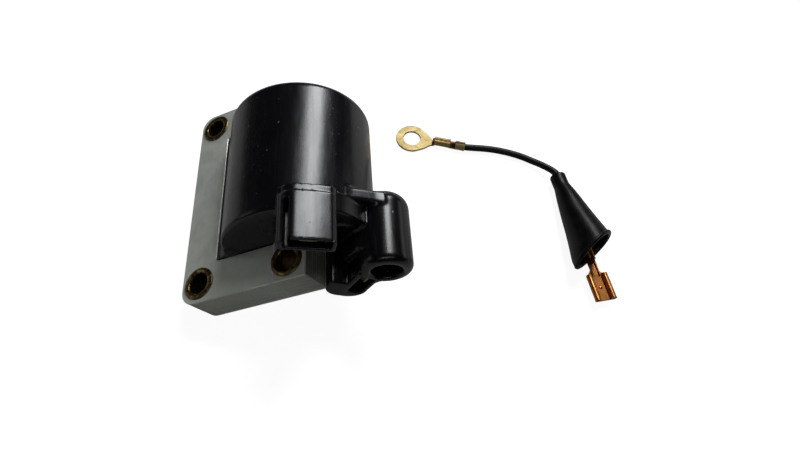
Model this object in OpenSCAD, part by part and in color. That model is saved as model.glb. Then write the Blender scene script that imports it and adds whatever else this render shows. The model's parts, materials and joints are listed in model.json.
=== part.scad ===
// External ignition coil for a small engine, with its low-voltage lead.
// The coil lies as it rests on a bench: on its round body and on one long edge
// of its laminated core.  Millimetres, +Z up, origin at the middle of the coil's
// footprint.
//
// Coil frame, used by every coil module before lying() turns it into place:
//   X  across the core, from the yoke's back to the limb
//   Y  along the coil's axis, 0 at the terminal end of the core
//   Z  through the stack of laminations, 0 at mid-stack
//
// Lead frame of the boot, used by the pieces at the lead's coil end:
//   Z  along the wire through the boot, 0 at the neck where it goes in; X is down

/* [Core] */
// Length of the core along the coil's axis
core_h = 70; // [66:0.5:76]
// Width of the core across both legs
core_w = 42; // [41:0.5:44]
// Height of the lamination stack
core_t = 11.5; // [10:0.5:12]
// Width of the yoke's long back leg
yoke_back = 11.5; // [10.5:0.5:12]
// Width of the yoke's two short arms
yoke_arm = 12; // [11:0.5:12.5]
// Width of the straight limb inside the coil
limb_w = 10.5; // [10:0.5:11]
// Corner radius of the yoke
core_corner = 4.5; // [4:0.5:6]

/* [Mounting eyelets] */
// Clearance hole through each eyelet, for an M6 bolt
eyelet_hole = 6.4; // [6:0.1:6.6]
// Outside diameter of an eyelet's barrel
eyelet_barrel = 7.4; // [7.2:0.1:7.8]
// Diameter of an eyelet's rolled rim
eyelet_rim = 10; // [9:0.5:10.5]
// Distance between eyelet centres along the core
eyelet_pitch_y = 58; // [56:0.5:60]
// Distance between eyelet centres across the core
eyelet_pitch_x = 30; // [29.5:0.1:30.5]

/* [Moulded body] */
// Radius of the round body
body_r = 22; // [21.5:0.1:22.5]
// End of the round body, measured along the core
body_end = 57; // [56:0.5:57.5]
// Wall thickness of the moulding
body_wall = 2; // [1.6:0.1:2.2]
// Edge radius at the far end of the body
body_end_r = 3; // [1:0.5:3]

/* [Sockets] */
// Length of the low-voltage tab socket
lt_len = 16.5; // [15:0.5:18]
// Height of the tab socket's flat top above the coil's axis
lt_top = 27.4; // [27:0.1:28]
// Outside radius of the high-voltage socket
ht_r = 7.5; // [7:0.1:8]
// Bore of the high-voltage socket
ht_bore = 8.6; // [8.4:0.1:9.2]
// Length of the high-voltage socket
ht_len = 24; // [22:0.5:26]
// Depth of the high-voltage socket's bore
ht_depth = 18; // [16:0.5:19]
// Bore round the pointed contact, for the cable without its seal
ht_cable_bore = 7.4; // [7:0.1:8]
// Depth of the wide mouth that takes the cable's seal
ht_seal_depth = 10; // [9:0.5:10]

/* [Windings] */
// Outside radius of the secondary winding
secondary_r = 17; // [16.5:0.1:17.2]
// Number of chambers in the secondary bobbin
chambers = 7; // [6:1:8]

/* [Lead] */
// Diameter of the lead's insulated wire
wire_d = 2.5; // [2.2:0.1:2.6]
// Diameter of the hole in the ring terminal, for an M6 stud
ring_hole = 6.4; // [6:0.1:6.6]
// Outside diameter of the ring terminal
ring_d = 12; // [11:0.5:13]
// Length of the rubber boot to the middle of its mouth
boot_len = 33; // [31:0.5:34]
// Outside radius of the boot's mouth
boot_mouth_r = 7.7; // [7.6:0.1:8]
// Outside radius of the boot's neck
boot_neck_r = 2.8; // [2.6:0.1:3]

/* [Hidden] */

$fn = 64;
eps = 0.01;
gap = 0.15;                       // air gap between neighbouring pieces of the coil

// Core
window_y0 = yoke_arm;
window_y1 = core_h - yoke_arm;
limb_x0 = core_w - limb_w;
axis_x = core_w - limb_w / 2;     // coil axis, in the middle of the limb
half_t = core_t / 2;
joint_gap = 0.05;                 // butt joint between yoke and limb
eyelet_y0 = (core_h - eyelet_pitch_y) / 2;
eyelet_x0 = eyelet_y0;
rim_t = 0.5;                      // height of an eyelet's rim above the core

// The coil rests on its body and on the core's lower back edge
lie_tilt = asin(body_r / norm([axis_x, half_t])) - atan2(half_t, axis_x);
rest_low_x = -core_t * sin(lie_tilt);

// Moulded body
body_start = window_y0 + gap;
cavity_r = body_r - body_wall;
cavity_start = body_start + body_wall;
cavity_end = body_end - 1.2;      // the resin stands a little below the body's rim
flare_r = 6;                      // fillet between the body and the face of the core
flare_z = half_t + flare_r;
flare_x = axis_x - sqrt(pow(body_r + flare_r, 2) - pow(flare_z, 2));
window_x0 = yoke_back + gap;
tunnel_w = limb_w + 2 * gap;      // passage for the limb
tunnel_t = core_t + 2 * gap;

// Low-voltage tab socket, in a frame turned to its flat top
lt_turn = 52;                     // the flat top faces this way, from X towards Z
lt_left = -8.1;
lt_right = 6.6;
lt_low = 21.2;
lt_side_r = 3.6;
lt_step_y = 14.2;                 // a shallow step crosses the flat top here
lt_step = 0.6;
lt_open = [-6.5, 22.4, 5.5, 26.4];  // socket opening: left, low, right, high
lt_depth = 12;
tab_w = 6.3;
tab_t = 0.8;
lt_tab_p = -0.5;
lt_tab_q = 25.2;                  // height of the tab in its socket
lt_tab_root = cavity_start + 0.9;
tab_tip = 0.8;                    // both tabs end just inside their sockets

// Second tab socket, below the limb
second_turn = -51.5;
second_left = -3.3;
second_right = 12;
second_high = 19.6;
second_low = 12.6;
second_corner = 5;
second_foot = [5, 8];             // right and low edges of its foot, beside the limb
second_open = [0.2, 14.2, 11, 18.5];
second_depth = 9;
second_wall = 1.2;                // least wall between the two bores
second_tab_w = 4.8;
second_tab_p = 8.1;
second_tab_q = 16.8;
second_tab_root = cavity_start + 1.2;

// High-voltage socket
ht_x = 61.2;
ht_z = -5.2;
ht_far_r = 5;                     // rounding of the socket's far end
ht_near_r = 2.2;                  // rounding of the socket's mouth
ht_out = norm([ht_x - axis_x, ht_z]);
ht_turn = atan2(ht_z, ht_x - axis_x);
spike_len = 7.4;
spike_r = 1.2;
contact_r = 2.4;
contact_end = ht_len - 2;
bore_chamfer = 0.4;

// Web and raised shoulder between the round body and the high-voltage socket
shoulder_start = 17.5;
shoulder_end = 21.8;
shoulder_drop = 5;                // the web lies this far below the shoulder
shoulder_at = [axis_x + 20, 9.1]; // where the shoulder leaves the round body
shoulder_to = [ht_x + ht_r * cos(63), ht_z + ht_r * sin(63)];
// Thin pad on the round body between the two sockets
pad_r = body_r + 0.5;
pad_end = 18.3;
// Block between the high-voltage socket and the body, behind the sockets' mouths
tie_start = 6;

// Footprint of the coil as it lies
rest_high_x = ht_x * cos(lie_tilt) - (ht_z + half_t) * sin(lie_tilt) + ht_r;
mid_x = (rest_low_x + rest_high_x) / 2;

// Windings, measured from the limb outwards
bobbin_wall = 1;
primary_build = 1.6;
wrap_t = 0.4;
primary_x = tunnel_w + 2 * bobbin_wall;
primary_z = tunnel_t + 2 * bobbin_wall;
winding_start = cavity_start + 1.6;
winding_end = cavity_end - 4.2;
flange_t = 0.8;
tube_r = 12.4;                    // bore of the secondary bobbin
tube_wall = 0.8;
tape_t = 0.4;
chamber_pitch = (winding_end - winding_start - flange_t) / chambers;
ht_wire_y = winding_start + flange_t / 2 + chamber_pitch * 0.5;
lead_out_d = 0.8;                 // wire ends from the windings to their terminals
lead_out_clear = 0.9;             // they start this far outside the primary
earth_wire_d = 0.5;
bobbin_end_t = 0.6;               // flanges of the primary bobbin

// Lead, on the bench
wire_r = wire_d / 2;
ring_x = 41.2;
ring_y = 33.5;
ring_turn = -15;
ring_t = 0.8;
sheet = 0.4;                      // sheet thickness of the crimps
crimp_x0 = 8.6;
crimp_x1 = 14.6;
grip_x0 = 16.6;
grip_x1 = 20.2;
crimp_r = 1.65;
grip_r = wire_r + sheet;
lead_z = grip_r;

// Boot, which lies on its side.  Its neck is level, in line with the wire, and its
// cone rises so that the underside lies along the bench.
boot_heading = -83.5;             // way the boot points, from X
boot_rise = 8.3;
boot_hinge = 4;                   // the cone turns up from the neck here
mouth_slant = 32;                 // the mouth is cut back on one side
boot_wall = 1.3;
neck_len = 5;
boot_slope = (boot_mouth_r - boot_neck_r) / (boot_len - neck_len);
lip_past = boot_mouth_r * tan(mouth_slant) / (1 - boot_slope * tan(mouth_slant));
bench_gap = 0.15;
boot_z = boot_mouth_r * cos(boot_rise) + bench_gap - (boot_len - boot_hinge) * sin(boot_rise);
boot_at = [92.8, 12.8, boot_z];

// Terminal inside the boot, as distances from the start of the boot's neck
grip_s0 = 26;
grip_s1 = 29.2;
crimp_s0 = 30.6;
crimp_s1 = 34.6;
box_s0 = 40;
box_s1 = 49.2;
box_w = 7.4;
rail_r = 1;

// Centre line of the wire outside its two terminals, then into the boot's neck
wire_route = [
  [61.1, 28.1, 1.6], [64.0, 27.8, 1.5], [67.6, 27.5, 1.4], [71.3, 26.9, 1.4],
  [74.9, 26.0, 1.4], [78.5, 24.8, 1.4], [82.0, 23.2, 1.5], [85.2, 21.2, 1.7],
  [88.0, 19.0, 2.3], [90.2, 16.9, 2.9], [91.8, 15.0, 3.4], [92.5, 13.8, 3.6]
];

// ---- frames -----------------------------------------------------------------

// From the coil frame to the bench
module lying() {
  translate([-mid_x, -core_h / 2, 0])
    rotate([0, -lie_tilt, 0])
      translate([0, 0, half_t])
        children();
}

// An outline drawn across the coil's axis, made solid from y0 to y1
module along_axis(y0, y1) {
  translate([0, y1, 0])
    rotate([90, 0, 0])
      linear_extrude(y1 - y0)
        children();
}

// A turned shape whose profile is [radius, position along the coil's axis]
module turned(x = axis_x, z = 0) {
  translate([x, 0, z])
    rotate([-90, 0, 0])
      rotate_extrude($fn = 96)
        children();
}

// Socket frame: X along the socket's flat side, Y outwards from the coil's axis
module facing(turn) {
  translate([axis_x, 0])
    rotate(turn - 90)
      children();
}

module box_from(b) {
  translate([b[0], b[1]])
    square([b[2] - b[0], b[3] - b[1]]);
}

// From the boot's own frame to the bench
module on_boot() {
  translate(boot_at)
    rotate([0, 0, boot_heading])
      rotate([0, 90, 0])
        children();
}

// From the ring terminal's own frame to the bench
module on_ring() {
  translate([ring_x, ring_y, 0])
    rotate([0, 0, ring_turn])
      children();
}

// ---- core -------------------------------------------------------------------

module eyelet_places(side) {
  for (y = [eyelet_y0, eyelet_y0 + eyelet_pitch_y])
    translate([eyelet_x0 + side * eyelet_pitch_x, y, 0])
      children();
}

module eyelet_holes(side) {
  eyelet_places(side)
    cylinder(h = core_t + 2, d = eyelet_barrel + 0.1, center = true);
}

module yoke_outline() {
  difference() {
    union() {
      translate([core_corner, 0])
        square([limb_x0 - joint_gap - core_corner, core_h]);
      translate([0, core_corner])
        square([core_corner + eps, core_h - 2 * core_corner]);
      for (y = [core_corner, core_h - core_corner])
        translate([core_corner, y])
          circle(core_corner);
    }
    translate([yoke_back, window_y0])
      square([core_w, window_y1 - window_y0]);
  }
}

module yoke_laminations() {
  color("darkseagreen")
    lying()
      difference() {
        translate([0, 0, -half_t])
          linear_extrude(core_t)
            yoke_outline();
        eyelet_holes(0);
      }
}

module limb_laminations() {
  color("darkseagreen")
    lying()
      difference() {
        translate([limb_x0, 0, -half_t])
          cube([limb_w, core_h, core_t]);
        eyelet_holes(1);
      }
}

// One tubular eyelet with a rolled rim on both faces of the core
module eyelet() {
  rim_h = half_t + rim_t;
  bore_r = eyelet_hole / 2;
  rotate_extrude()
    polygon([
      [bore_r, -rim_h + 0.3], [bore_r + 0.3, -rim_h], [eyelet_rim / 2 - 0.3, -rim_h],
      [eyelet_rim / 2, -half_t], [eyelet_barrel / 2, -half_t],
      [eyelet_barrel / 2, half_t], [eyelet_rim / 2, half_t],
      [eyelet_rim / 2 - 0.3, rim_h], [bore_r + 0.3, rim_h], [bore_r, rim_h - 0.3]
    ]);
}

module mounting_eyelets() {
  color("peru")
    lying()
      for (side = [0, 1])
        eyelet_places(side)
          eyelet();
}

// ---- moulded body -----------------------------------------------------------

module body_profile() {
  polygon([
    [0, body_start], [body_r - 0.6, body_start], [body_r, body_start + 0.6],
    for (a = [0 : 15 : 90])
      [body_r - body_end_r + body_end_r * cos(a), body_end - body_end_r + body_end_r * sin(a)],
    [0, body_end]
  ]);
}

// Filling of the core's window, which sweeps up to the round body on both faces
module window_fill() {
  top = flare_z * body_r / (body_r + flare_r) + 0.1;
  inner_x = axis_x - body_r * 0.7;
  neck_x = flare_x + flare_r * 0.85;
  along_axis(body_start, body_end)
    for (flip = [0, 1])
      mirror([0, flip])
        difference() {
          union() {
            translate([window_x0, -eps])
              square([neck_x - window_x0, top]);
            translate([window_x0, -eps])
              square([inner_x - window_x0, half_t]);
          }
          translate([flare_x, flare_z])
            circle(flare_r, $fn = 96);
        }
}

module lt_outline() {
  facing(lt_turn) {
    difference() {
      box_from([lt_left, lt_low, lt_right, lt_top]);
      translate([lt_left, lt_top])
        mirror([0, 1])
          square(lt_side_r);
    }
    translate([lt_left + lt_side_r, lt_top - lt_side_r])
      circle(lt_side_r);
  }
}

module lt_socket() {
  along_axis(0, lt_step_y)
    lt_outline();
  along_axis(lt_step_y - eps, lt_len)
    intersection() {
      lt_outline();
      facing(lt_turn)
        box_from([lt_left, lt_low, lt_right, lt_top - lt_step]);
    }
  // foot of the socket, down into the round body
  along_axis(body_start, lt_len)
    facing(lt_turn)
      box_from([lt_left, body_r * 0.8, lt_right, lt_top - lt_side_r]);
}

// The second socket's X runs the other way, towards the high-voltage socket
module second_facing() {
  facing(second_turn)
    mirror([1, 0])
      children();
}

module second_outline() {
  second_facing() {
    box_from([second_left + second_corner, second_low, second_right, second_high]);
    box_from([second_left + second_corner, second_foot[1], second_foot[0], second_high - 1]);
    box_from([
      second_left, second_foot[1] + second_corner, second_foot[0], second_high - second_corner
    ]);
    for (q = [second_foot[1] + second_corner, second_high - second_corner])
      translate([second_left + second_corner, q])
        circle(second_corner);
  }
}

module second_opening() {
  difference() {
    second_facing()
      box_from(second_open);
    translate([ht_x, ht_z])
      circle(ht_bore / 2 + second_wall);
  }
}

module ht_socket() {
  turned(ht_x, ht_z)
    polygon([
      [0, 0],
      for (a = [0 : 15 : 90])
        [ht_r - ht_near_r + ht_near_r * sin(a), ht_near_r - ht_near_r * cos(a)],
      for (a = [0 : 15 : 90])
        [ht_r - ht_far_r + ht_far_r * cos(a), ht_len - ht_far_r + ht_far_r * sin(a)],
      [0, ht_len]
    ]);
}

// Ties the high-voltage socket to the round body, clear of the core's end
module web() {
  drop = [0.7, 0.7] * shoulder_drop;
  along_axis(body_start, shoulder_start + eps)
    polygon([
      [axis_x + 8, -8], [ht_x - 6, ht_z - 6], [ht_x, ht_z],
      shoulder_to - drop, shoulder_at - drop, [axis_x + 8, 8]
    ]);
  along_axis(shoulder_start, shoulder_end)
    polygon([[axis_x + 14, -8], [ht_x, ht_z], shoulder_to, shoulder_at, [axis_x + 14, 8]]);
  along_axis(body_start, pad_end)
    intersection() {
      translate([axis_x, 0])
        circle(pad_r, $fn = 96);
      facing(lt_turn)
        square([pad_r, pad_r]);
      translate([axis_x, 0])
        square([pad_r, pad_r]);
    }
  along_axis(tie_start, body_start + 1)
    polygon([
      [ht_x, ht_z], [ht_x - 2, ht_z + 6.5], [ht_x - 6.5, ht_z + 6],
      [axis_x + 12, -3], [axis_x + 12, -12], [ht_x - 3, ht_z - 6]
    ]);
}

module lt_tab_shape(y0) {
  along_axis(y0, lt_tab_root)
    facing(lt_turn)
      translate([lt_tab_p, lt_tab_q])
        square([tab_w, tab_t], center = true);
}

module second_tab_shape(y0) {
  along_axis(y0, second_tab_root)
    second_facing()
      translate([second_tab_p, second_tab_q])
        square([second_tab_w, tab_t], center = true);
}

// Straight wire at a given angle about the coil's axis, from one radius to another
module radial_wire(y, turn, r0, r1, d) {
  translate([axis_x, y, 0])
    rotate([0, -turn, 0])
      translate([r0, 0, 0])
        rotate([0, 90, 0])
          cylinder(h = r1 - r0, d = d, $fn = 24);
}

// Angle and radius of the roots of the three terminals
lt_root_turn = lt_turn - atan2(lt_tab_p, lt_tab_q);
second_root_turn = second_turn + atan2(second_tab_p, second_tab_q);
second_root_r = norm([second_tab_p, second_tab_q]);
wire_y = cavity_start + 0.55;        // beside the primary bobbin's end flange

module ht_contact_space() {
  turned(ht_x, ht_z)
    polygon([
      [0, ht_depth - eps], [contact_r, ht_depth - eps],
      [contact_r, contact_end], [0, contact_end]
    ]);
}

module body_shell() {
  color([0.09, 0.09, 0.10])
    lying()
      difference() {
        union() {
          turned()
            body_profile();
          window_fill();
          lt_socket();
          along_axis(0, body_start + 1)
            second_outline();
          ht_socket();
          web();
        }
        // room for the windings, open at the far end
        turned()
          polygon([
            [0, cavity_start], [cavity_r, cavity_start],
            [cavity_r, body_end + 1], [0, body_end + 1]
          ]);
        // passage for the limb
        translate([axis_x - tunnel_w / 2, body_start - 1, -tunnel_t / 2])
          cube([tunnel_w, body_wall + 2, tunnel_t]);
        // low-voltage socket and the slot that holds its tab
        along_axis(-1, lt_depth)
          facing(lt_turn)
            box_from(lt_open);
        lt_tab_shape(lt_depth - 1);
        radial_wire(wire_y, lt_root_turn, cavity_r - 1, lt_tab_q, lead_out_d);
        // second socket
        along_axis(-1, second_depth)
          second_opening();
        second_tab_shape(second_depth - 1);
        // high-voltage socket
        turned(ht_x, ht_z)
          polygon([
            [0, -1], [ht_bore / 2 + bore_chamfer + 1, -1], [ht_bore / 2, bore_chamfer],
            [ht_bore / 2, ht_seal_depth], [ht_cable_bore / 2, ht_seal_depth],
            [ht_cable_bore / 2, ht_depth], [0, ht_depth]
          ]);
        ht_contact_space();
        radial_wire(ht_wire_y, ht_turn, cavity_r - 1, ht_out, lead_out_d);
      }
}

module winding_room(r, y0, y1) {
  turned()
    polygon([[0, y0], [r, y0], [r, y1], [0, y1]]);
}

// Resin round the windings and over their far end
module potting_resin() {
  color([0.16, 0.13, 0.11])
    lying()
      difference() {
        winding_room(cavity_r, cavity_start, cavity_end);
        winding_room(secondary_r + tape_t + 0.5, cavity_start - 1, winding_end + 0.6);
        translate([axis_x - tunnel_w / 2, cavity_start, -tunnel_t / 2])
          cube([tunnel_w, core_h, tunnel_t]);
        radial_wire(wire_y, lt_root_turn, 0, cavity_r + 1, lead_out_d);
        radial_wire(ht_wire_y, ht_turn, 0, cavity_r + 1, lead_out_d);
        second_tab_shape(cavity_start - 1);
      }
}

// ---- windings ---------------------------------------------------------------

module square_ring(inner, outer, y0, y1) {
  along_axis(y0, y1)
    translate([axis_x, 0])
      difference() {
        square([outer[0], outer[1]], center = true);
        square([inner[0], inner[1]], center = true);
      }
}

primary_out = [primary_x + 2 * primary_build, primary_z + 2 * primary_build];
wrap_out = [primary_out[0] + 2 * wrap_t, primary_out[1] + 2 * wrap_t];

module primary_bobbin() {
  color("tan")
    lying() {
      square_ring([tunnel_w, tunnel_t], [primary_x, primary_z], cavity_start, winding_end);
      for (y = [winding_start, winding_end])
        square_ring([primary_x - eps, primary_z - eps], primary_out, y - bobbin_end_t, y);
    }
}

module primary_winding() {
  color("chocolate")
    lying()
      square_ring([primary_x, primary_z], primary_out, winding_start, winding_end - bobbin_end_t);
}

module layer_insulation() {
  color("khaki")
    lying()
      square_ring(primary_out, wrap_out, winding_start, winding_end - bobbin_end_t);
}

module secondary_bobbin() {
  color("ivory")
    lying()
      difference() {
        union() {
          winding_room(tube_r + tube_wall, winding_start, winding_end);
          for (i = [0 : chambers])
            winding_room(secondary_r, winding_start + i * chamber_pitch,
              winding_start + i * chamber_pitch + flange_t);
        }
        winding_room(tube_r, winding_start - 1, winding_end + 1);
      }
}

module secondary_winding() {
  color("sienna")
    lying()
      for (i = [0 : chambers - 1])
        difference() {
          winding_room(secondary_r - 0.4, winding_start + i * chamber_pitch + flange_t,
            winding_start + (i + 1) * chamber_pitch);
          winding_room(tube_r + tube_wall, winding_start, winding_end);
          if (i == 0)
            radial_wire(ht_wire_y, ht_turn, secondary_r - 1.4, cavity_r, lead_out_d);
        }
}

module outer_tape() {
  color("gold")
    lying()
      difference() {
        winding_room(secondary_r + tape_t, winding_start, winding_end);
        winding_room(secondary_r, winding_start - 1, winding_end + 1);
        radial_wire(ht_wire_y, ht_turn, 0, cavity_r, lead_out_d);
      }
}

// ---- terminals and the wires behind them ------------------------------------

module low_voltage_tab() {
  color("gold")
    lying()
      lt_tab_shape(tab_tip);
}

module second_tab() {
  color("gold")
    lying()
      second_tab_shape(tab_tip);
}

// Brass insert with a pointed screw that bites into the plug lead
module high_voltage_contact() {
  color("goldenrod")
    lying()
      difference() {
        union() {
          ht_contact_space();
          turned(ht_x, ht_z)
            polygon([
              [0, ht_depth - spike_len], [spike_r, ht_depth - spike_len + 3],
              [spike_r, ht_depth], [0, ht_depth]
            ]);
        }
        radial_wire(ht_wire_y, ht_turn, 0, ht_out, lead_out_d);
      }
}

module tab_wire() {
  color("chocolate")
    lying()
      radial_wire(wire_y, lt_root_turn, primary_out[1] / 2 + lead_out_clear,
        lt_tab_q - tab_t / 2, lead_out_d);
}

module second_tab_wire() {
  color("chocolate")
    lying()
      radial_wire(wire_y, second_root_turn, primary_out[1] / 2 + lead_out_clear,
        second_root_r - 1.2, lead_out_d);
}

module high_voltage_wire() {
  color("chocolate")
    lying()
      radial_wire(ht_wire_y, ht_turn, secondary_r - 1.4, ht_out, lead_out_d);
}

// Ties the inner end of the secondary to the laminations
module secondary_earth_wire() {
  foot_z = tunnel_t / 2 + bobbin_wall + 0.1;
  color("chocolate")
    lying()
      translate([axis_x, winding_end + earth_wire_d / 2 + 0.05, foot_z])
        cylinder(h = tube_r + tube_wall - foot_z, d = earth_wire_d, $fn = 24);
}

// ---- lead -------------------------------------------------------------------

// Crimp barrel along X, open on top, at the height of the wire
module crimp_barrel(x0, x1, r, z) {
  translate([x0, 0, z])
    rotate([0, 90, 0])
      difference() {
        cylinder(h = x1 - x0, r = r);
        translate([0, 0, -1])
          cylinder(h = x1 - x0 + 2, r = r - sheet);
      }
}

module ring_terminal() {
  tongue_w = 3;
  color("darkgoldenrod")
    on_ring() {
      difference() {
        union() {
          cylinder(h = ring_t, d = ring_d);
          linear_extrude(ring_t)
            polygon([
              [2, -ring_d / 2 + 0.35], [crimp_x0, -tongue_w / 2],
              [crimp_x0, tongue_w / 2], [2, ring_d / 2 - 0.35]
            ]);
          translate([crimp_x0 - 1, -tongue_w / 2 + 0.6, 0])
            cube([grip_x1 - crimp_x0 + 1, tongue_w - 1.2, sheet]);
        }
        translate([0, 0, -1])
          cylinder(h = ring_t + 2, d = ring_hole);
      }
      crimp_barrel(crimp_x0, crimp_x1, crimp_r, lead_z);
      crimp_barrel(grip_x0, grip_x1, grip_r, lead_z);
    }
}

function unit(v) = v / norm(v);

// Points of the wire's centre line on the bench: held in the ring terminal, free
// across the bench, then straight through the boot's neck to the other terminal
function ring_point(x) = [
  ring_x + x * cos(ring_turn), ring_y + x * sin(ring_turn), lead_z
];
function boot_point(s) = boot_at + s * [cos(boot_heading), sin(boot_heading), 0];
wire_path = concat(
  [ring_point(grip_x0 - 0.6)],
  wire_route,
  [for (s = [0, 4, 10, 16, 22, grip_s1 + 0.6]) boot_point(s)]
);

// A tube of eight sides, swept along a path; the last ring's frame is upright
module swept(path, r, sides = 8) {
  n = len(path);
  tangents = [
    for (i = [0 : n - 1]) unit(path[min(i + 1, n - 1)] - path[max(i - 1, 0)])
  ];
  points = [
    for (i = [0 : n - 1])
      let (side = unit(cross([0, 0, 1], tangents[i])), up = cross(tangents[i], side))
        for (k = [0 : sides - 1])
          path[i] + r * (cos(360 * k / sides) * side + sin(360 * k / sides) * up)
  ];
  faces = [
    [for (k = [0 : sides - 1]) k],
    for (i = [0 : n - 2])
      for (k = [0 : sides - 1])
        let (j = (k + 1) % sides)
          [i * sides + k, (i + 1) * sides + k, (i + 1) * sides + j, i * sides + j],
    [for (k = [sides - 1 : -1 : 0]) (n - 1) * sides + k]
  ];
  polyhedron(points = points, faces = faces, convexity = 4);
}

module lead_wire() {
  color([0.10, 0.10, 0.10])
    swept(wire_path, wire_r - 0.02);
}

// Bare strands that come out of the insulation into each crimp
module lead_strands() {
  strand_r = crimp_r - sheet - 0.05;
  color("orangered") {
    on_ring()
      translate([crimp_x0 + 0.3, 0, lead_z])
        rotate([0, 90, 0])
          cylinder(h = grip_x0 - 0.6 - crimp_x0 - 0.3, r = strand_r, $fn = 24);
    on_boot()
      translate([0, 0, grip_s1 + 0.6])
        cylinder(h = crimp_s1 - 0.4 - grip_s1 - 0.6, r = strand_r, $fn = 24);
  }
}

// Ring of sheet metal about the boot's axis
module boot_crimp(s0, s1, r) {
  translate([0, 0, s0])
    difference() {
      cylinder(h = s1 - s0, r = r);
      translate([0, 0, -1])
        cylinder(h = s1 - s0 + 2, r = r - sheet);
    }
}

// Receptacle for a flat tab: floor, two rolled rails, neck and two crimps.
// In the boot's frame +X points down at rest, so the floor is on that side.
module tab_receptacle() {
  floor_x = rail_r - sheet;
  channel_w = 2.8;
  channel_h = 1.2;
  strip_w = 1.8;
  color("darkorange")
    on_boot() {
      translate([floor_x, -box_w / 2 + rail_r, box_s0])
        cube([sheet, box_w - 2 * rail_r, box_s1 - box_s0]);
      for (side = [-1, 1])
        translate([0, side * (box_w / 2 - rail_r), box_s0])
          difference() {
            cylinder(h = box_s1 - box_s0, r = rail_r, $fn = 32);
            translate([0, 0, -1])
              cylinder(h = box_s1 - box_s0 + 2, r = rail_r - sheet, $fn = 32);
            translate([-0.4, side > 0 ? -2 : 0, -1])
              cube([rail_r - sheet + 0.4, 2, box_s1 - box_s0 + 2]);
          }
      // strip between the two crimps
      translate([crimp_r - sheet, -strip_w / 2, grip_s1])
        cube([sheet - 0.05, strip_w, crimp_s0 - grip_s1 + 0.2]);
      // neck, a shallow channel between the box and the crimps
      translate([floor_x, -channel_w / 2, crimp_s1 - 0.2])
        cube([sheet, channel_w, box_s0 - crimp_s1 + 0.6]);
      for (side = [-1, 1])
        translate([rail_r - channel_h, side * (channel_w - sheet) / 2 - sheet / 2, crimp_s1 - 0.2])
          cube([channel_h, sheet, box_s0 - crimp_s1 + 0.6]);
      boot_crimp(grip_s0, grip_s1 + 0.1, grip_r);
      boot_crimp(crimp_s0, crimp_s1, crimp_r);
    }
}

// From the boot's frame to its cone, which rises from the neck
module on_cone() {
  translate([0, 0, boot_hinge])
    rotate([0, -boot_rise, 0])
      translate([0, 0, -boot_hinge])
        children();
}

// Hollow cone of rubber whose mouth is cut on a slant
module rubber_boot() {
  neck_bore = wire_r + 0.08;
  past = lip_past + 2;            // length that the slanted cut takes off
  end_r = boot_mouth_r + boot_slope * past;
  cavity_s0 = neck_len + 1;
  collar_r = boot_neck_r + 0.2;   // the cone starts a little wider than the neck
  channel_r = grip_r + 0.3;       // room for the terminal's crimps along the underside
  color([0.12, 0.12, 0.12])
    on_boot()
      difference() {
        union() {
          rotate_extrude()
            polygon([
              [0, 0], [boot_neck_r - 0.5, 0], [boot_neck_r, 0.5],
              [boot_neck_r, boot_hinge + 0.5], [0, boot_hinge + 0.5]
            ]);
          on_cone()
            rotate_extrude($fn = 96)
              polygon([
                [0, boot_hinge - 0.6], [collar_r, boot_hinge - 0.6], [collar_r, neck_len],
                [end_r, boot_len + past], [0, boot_len + past]
              ]);
        }
        translate([0, 0, -1])
          cylinder(h = cavity_s0 + 5, r = neck_bore);
        translate([0, 0, cavity_s0 + 3])
          cylinder(h = boot_len + past, r = channel_r);
        on_cone() {
          rotate_extrude($fn = 96)
            polygon([
              [0, cavity_s0], [neck_bore, cavity_s0],
              [end_r - boot_wall, boot_len + past + 1], [0, boot_len + past + 1]
            ]);
          translate([0, 0, boot_len])
            rotate([-mouth_slant, 0, 0])
              translate([-boot_len, -boot_len, 0])
                cube(2 * boot_len);
        }
      }
}

yoke_laminations();
limb_laminations();
mounting_eyelets();
body_shell();
potting_resin();
primary_bobbin();
primary_winding();
layer_insulation();
secondary_bobbin();
secondary_winding();
outer_tape();
low_voltage_tab();
second_tab();
high_voltage_contact();
tab_wire();
second_tab_wire();
high_voltage_wire();
secondary_earth_wire();
ring_terminal();
lead_wire();
lead_strands();
tab_receptacle();
rubber_boot();
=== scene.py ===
"""Looks of an ignition coil and its low-voltage lead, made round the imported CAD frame.

Lengths in this script are millimetres in one of four local frames (coil, socket, ring
terminal, boot) unless a name says otherwise; place() turns them into the frame's metres.
"""

import json
import math

import bpy
import numpy as np
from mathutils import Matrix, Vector


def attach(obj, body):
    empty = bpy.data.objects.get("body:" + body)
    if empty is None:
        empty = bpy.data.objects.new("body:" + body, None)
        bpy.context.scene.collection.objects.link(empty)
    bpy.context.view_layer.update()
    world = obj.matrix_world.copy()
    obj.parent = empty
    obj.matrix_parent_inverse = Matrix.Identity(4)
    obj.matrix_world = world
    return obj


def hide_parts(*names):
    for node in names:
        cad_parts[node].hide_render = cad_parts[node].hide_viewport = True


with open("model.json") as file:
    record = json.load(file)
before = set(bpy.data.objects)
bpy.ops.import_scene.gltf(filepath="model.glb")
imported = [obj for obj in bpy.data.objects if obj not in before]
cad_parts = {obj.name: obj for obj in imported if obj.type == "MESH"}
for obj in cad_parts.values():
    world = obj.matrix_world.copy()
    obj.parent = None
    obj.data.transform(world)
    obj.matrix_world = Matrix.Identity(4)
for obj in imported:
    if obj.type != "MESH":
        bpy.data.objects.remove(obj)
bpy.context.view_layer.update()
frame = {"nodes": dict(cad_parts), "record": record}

MM = 0.001
mounts = {m["name"]: m for m in frame["record"]["mounts"]}
random = np.random.default_rng(7)

# ---- dimensions shared with the CAD model (mm) ----

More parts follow.
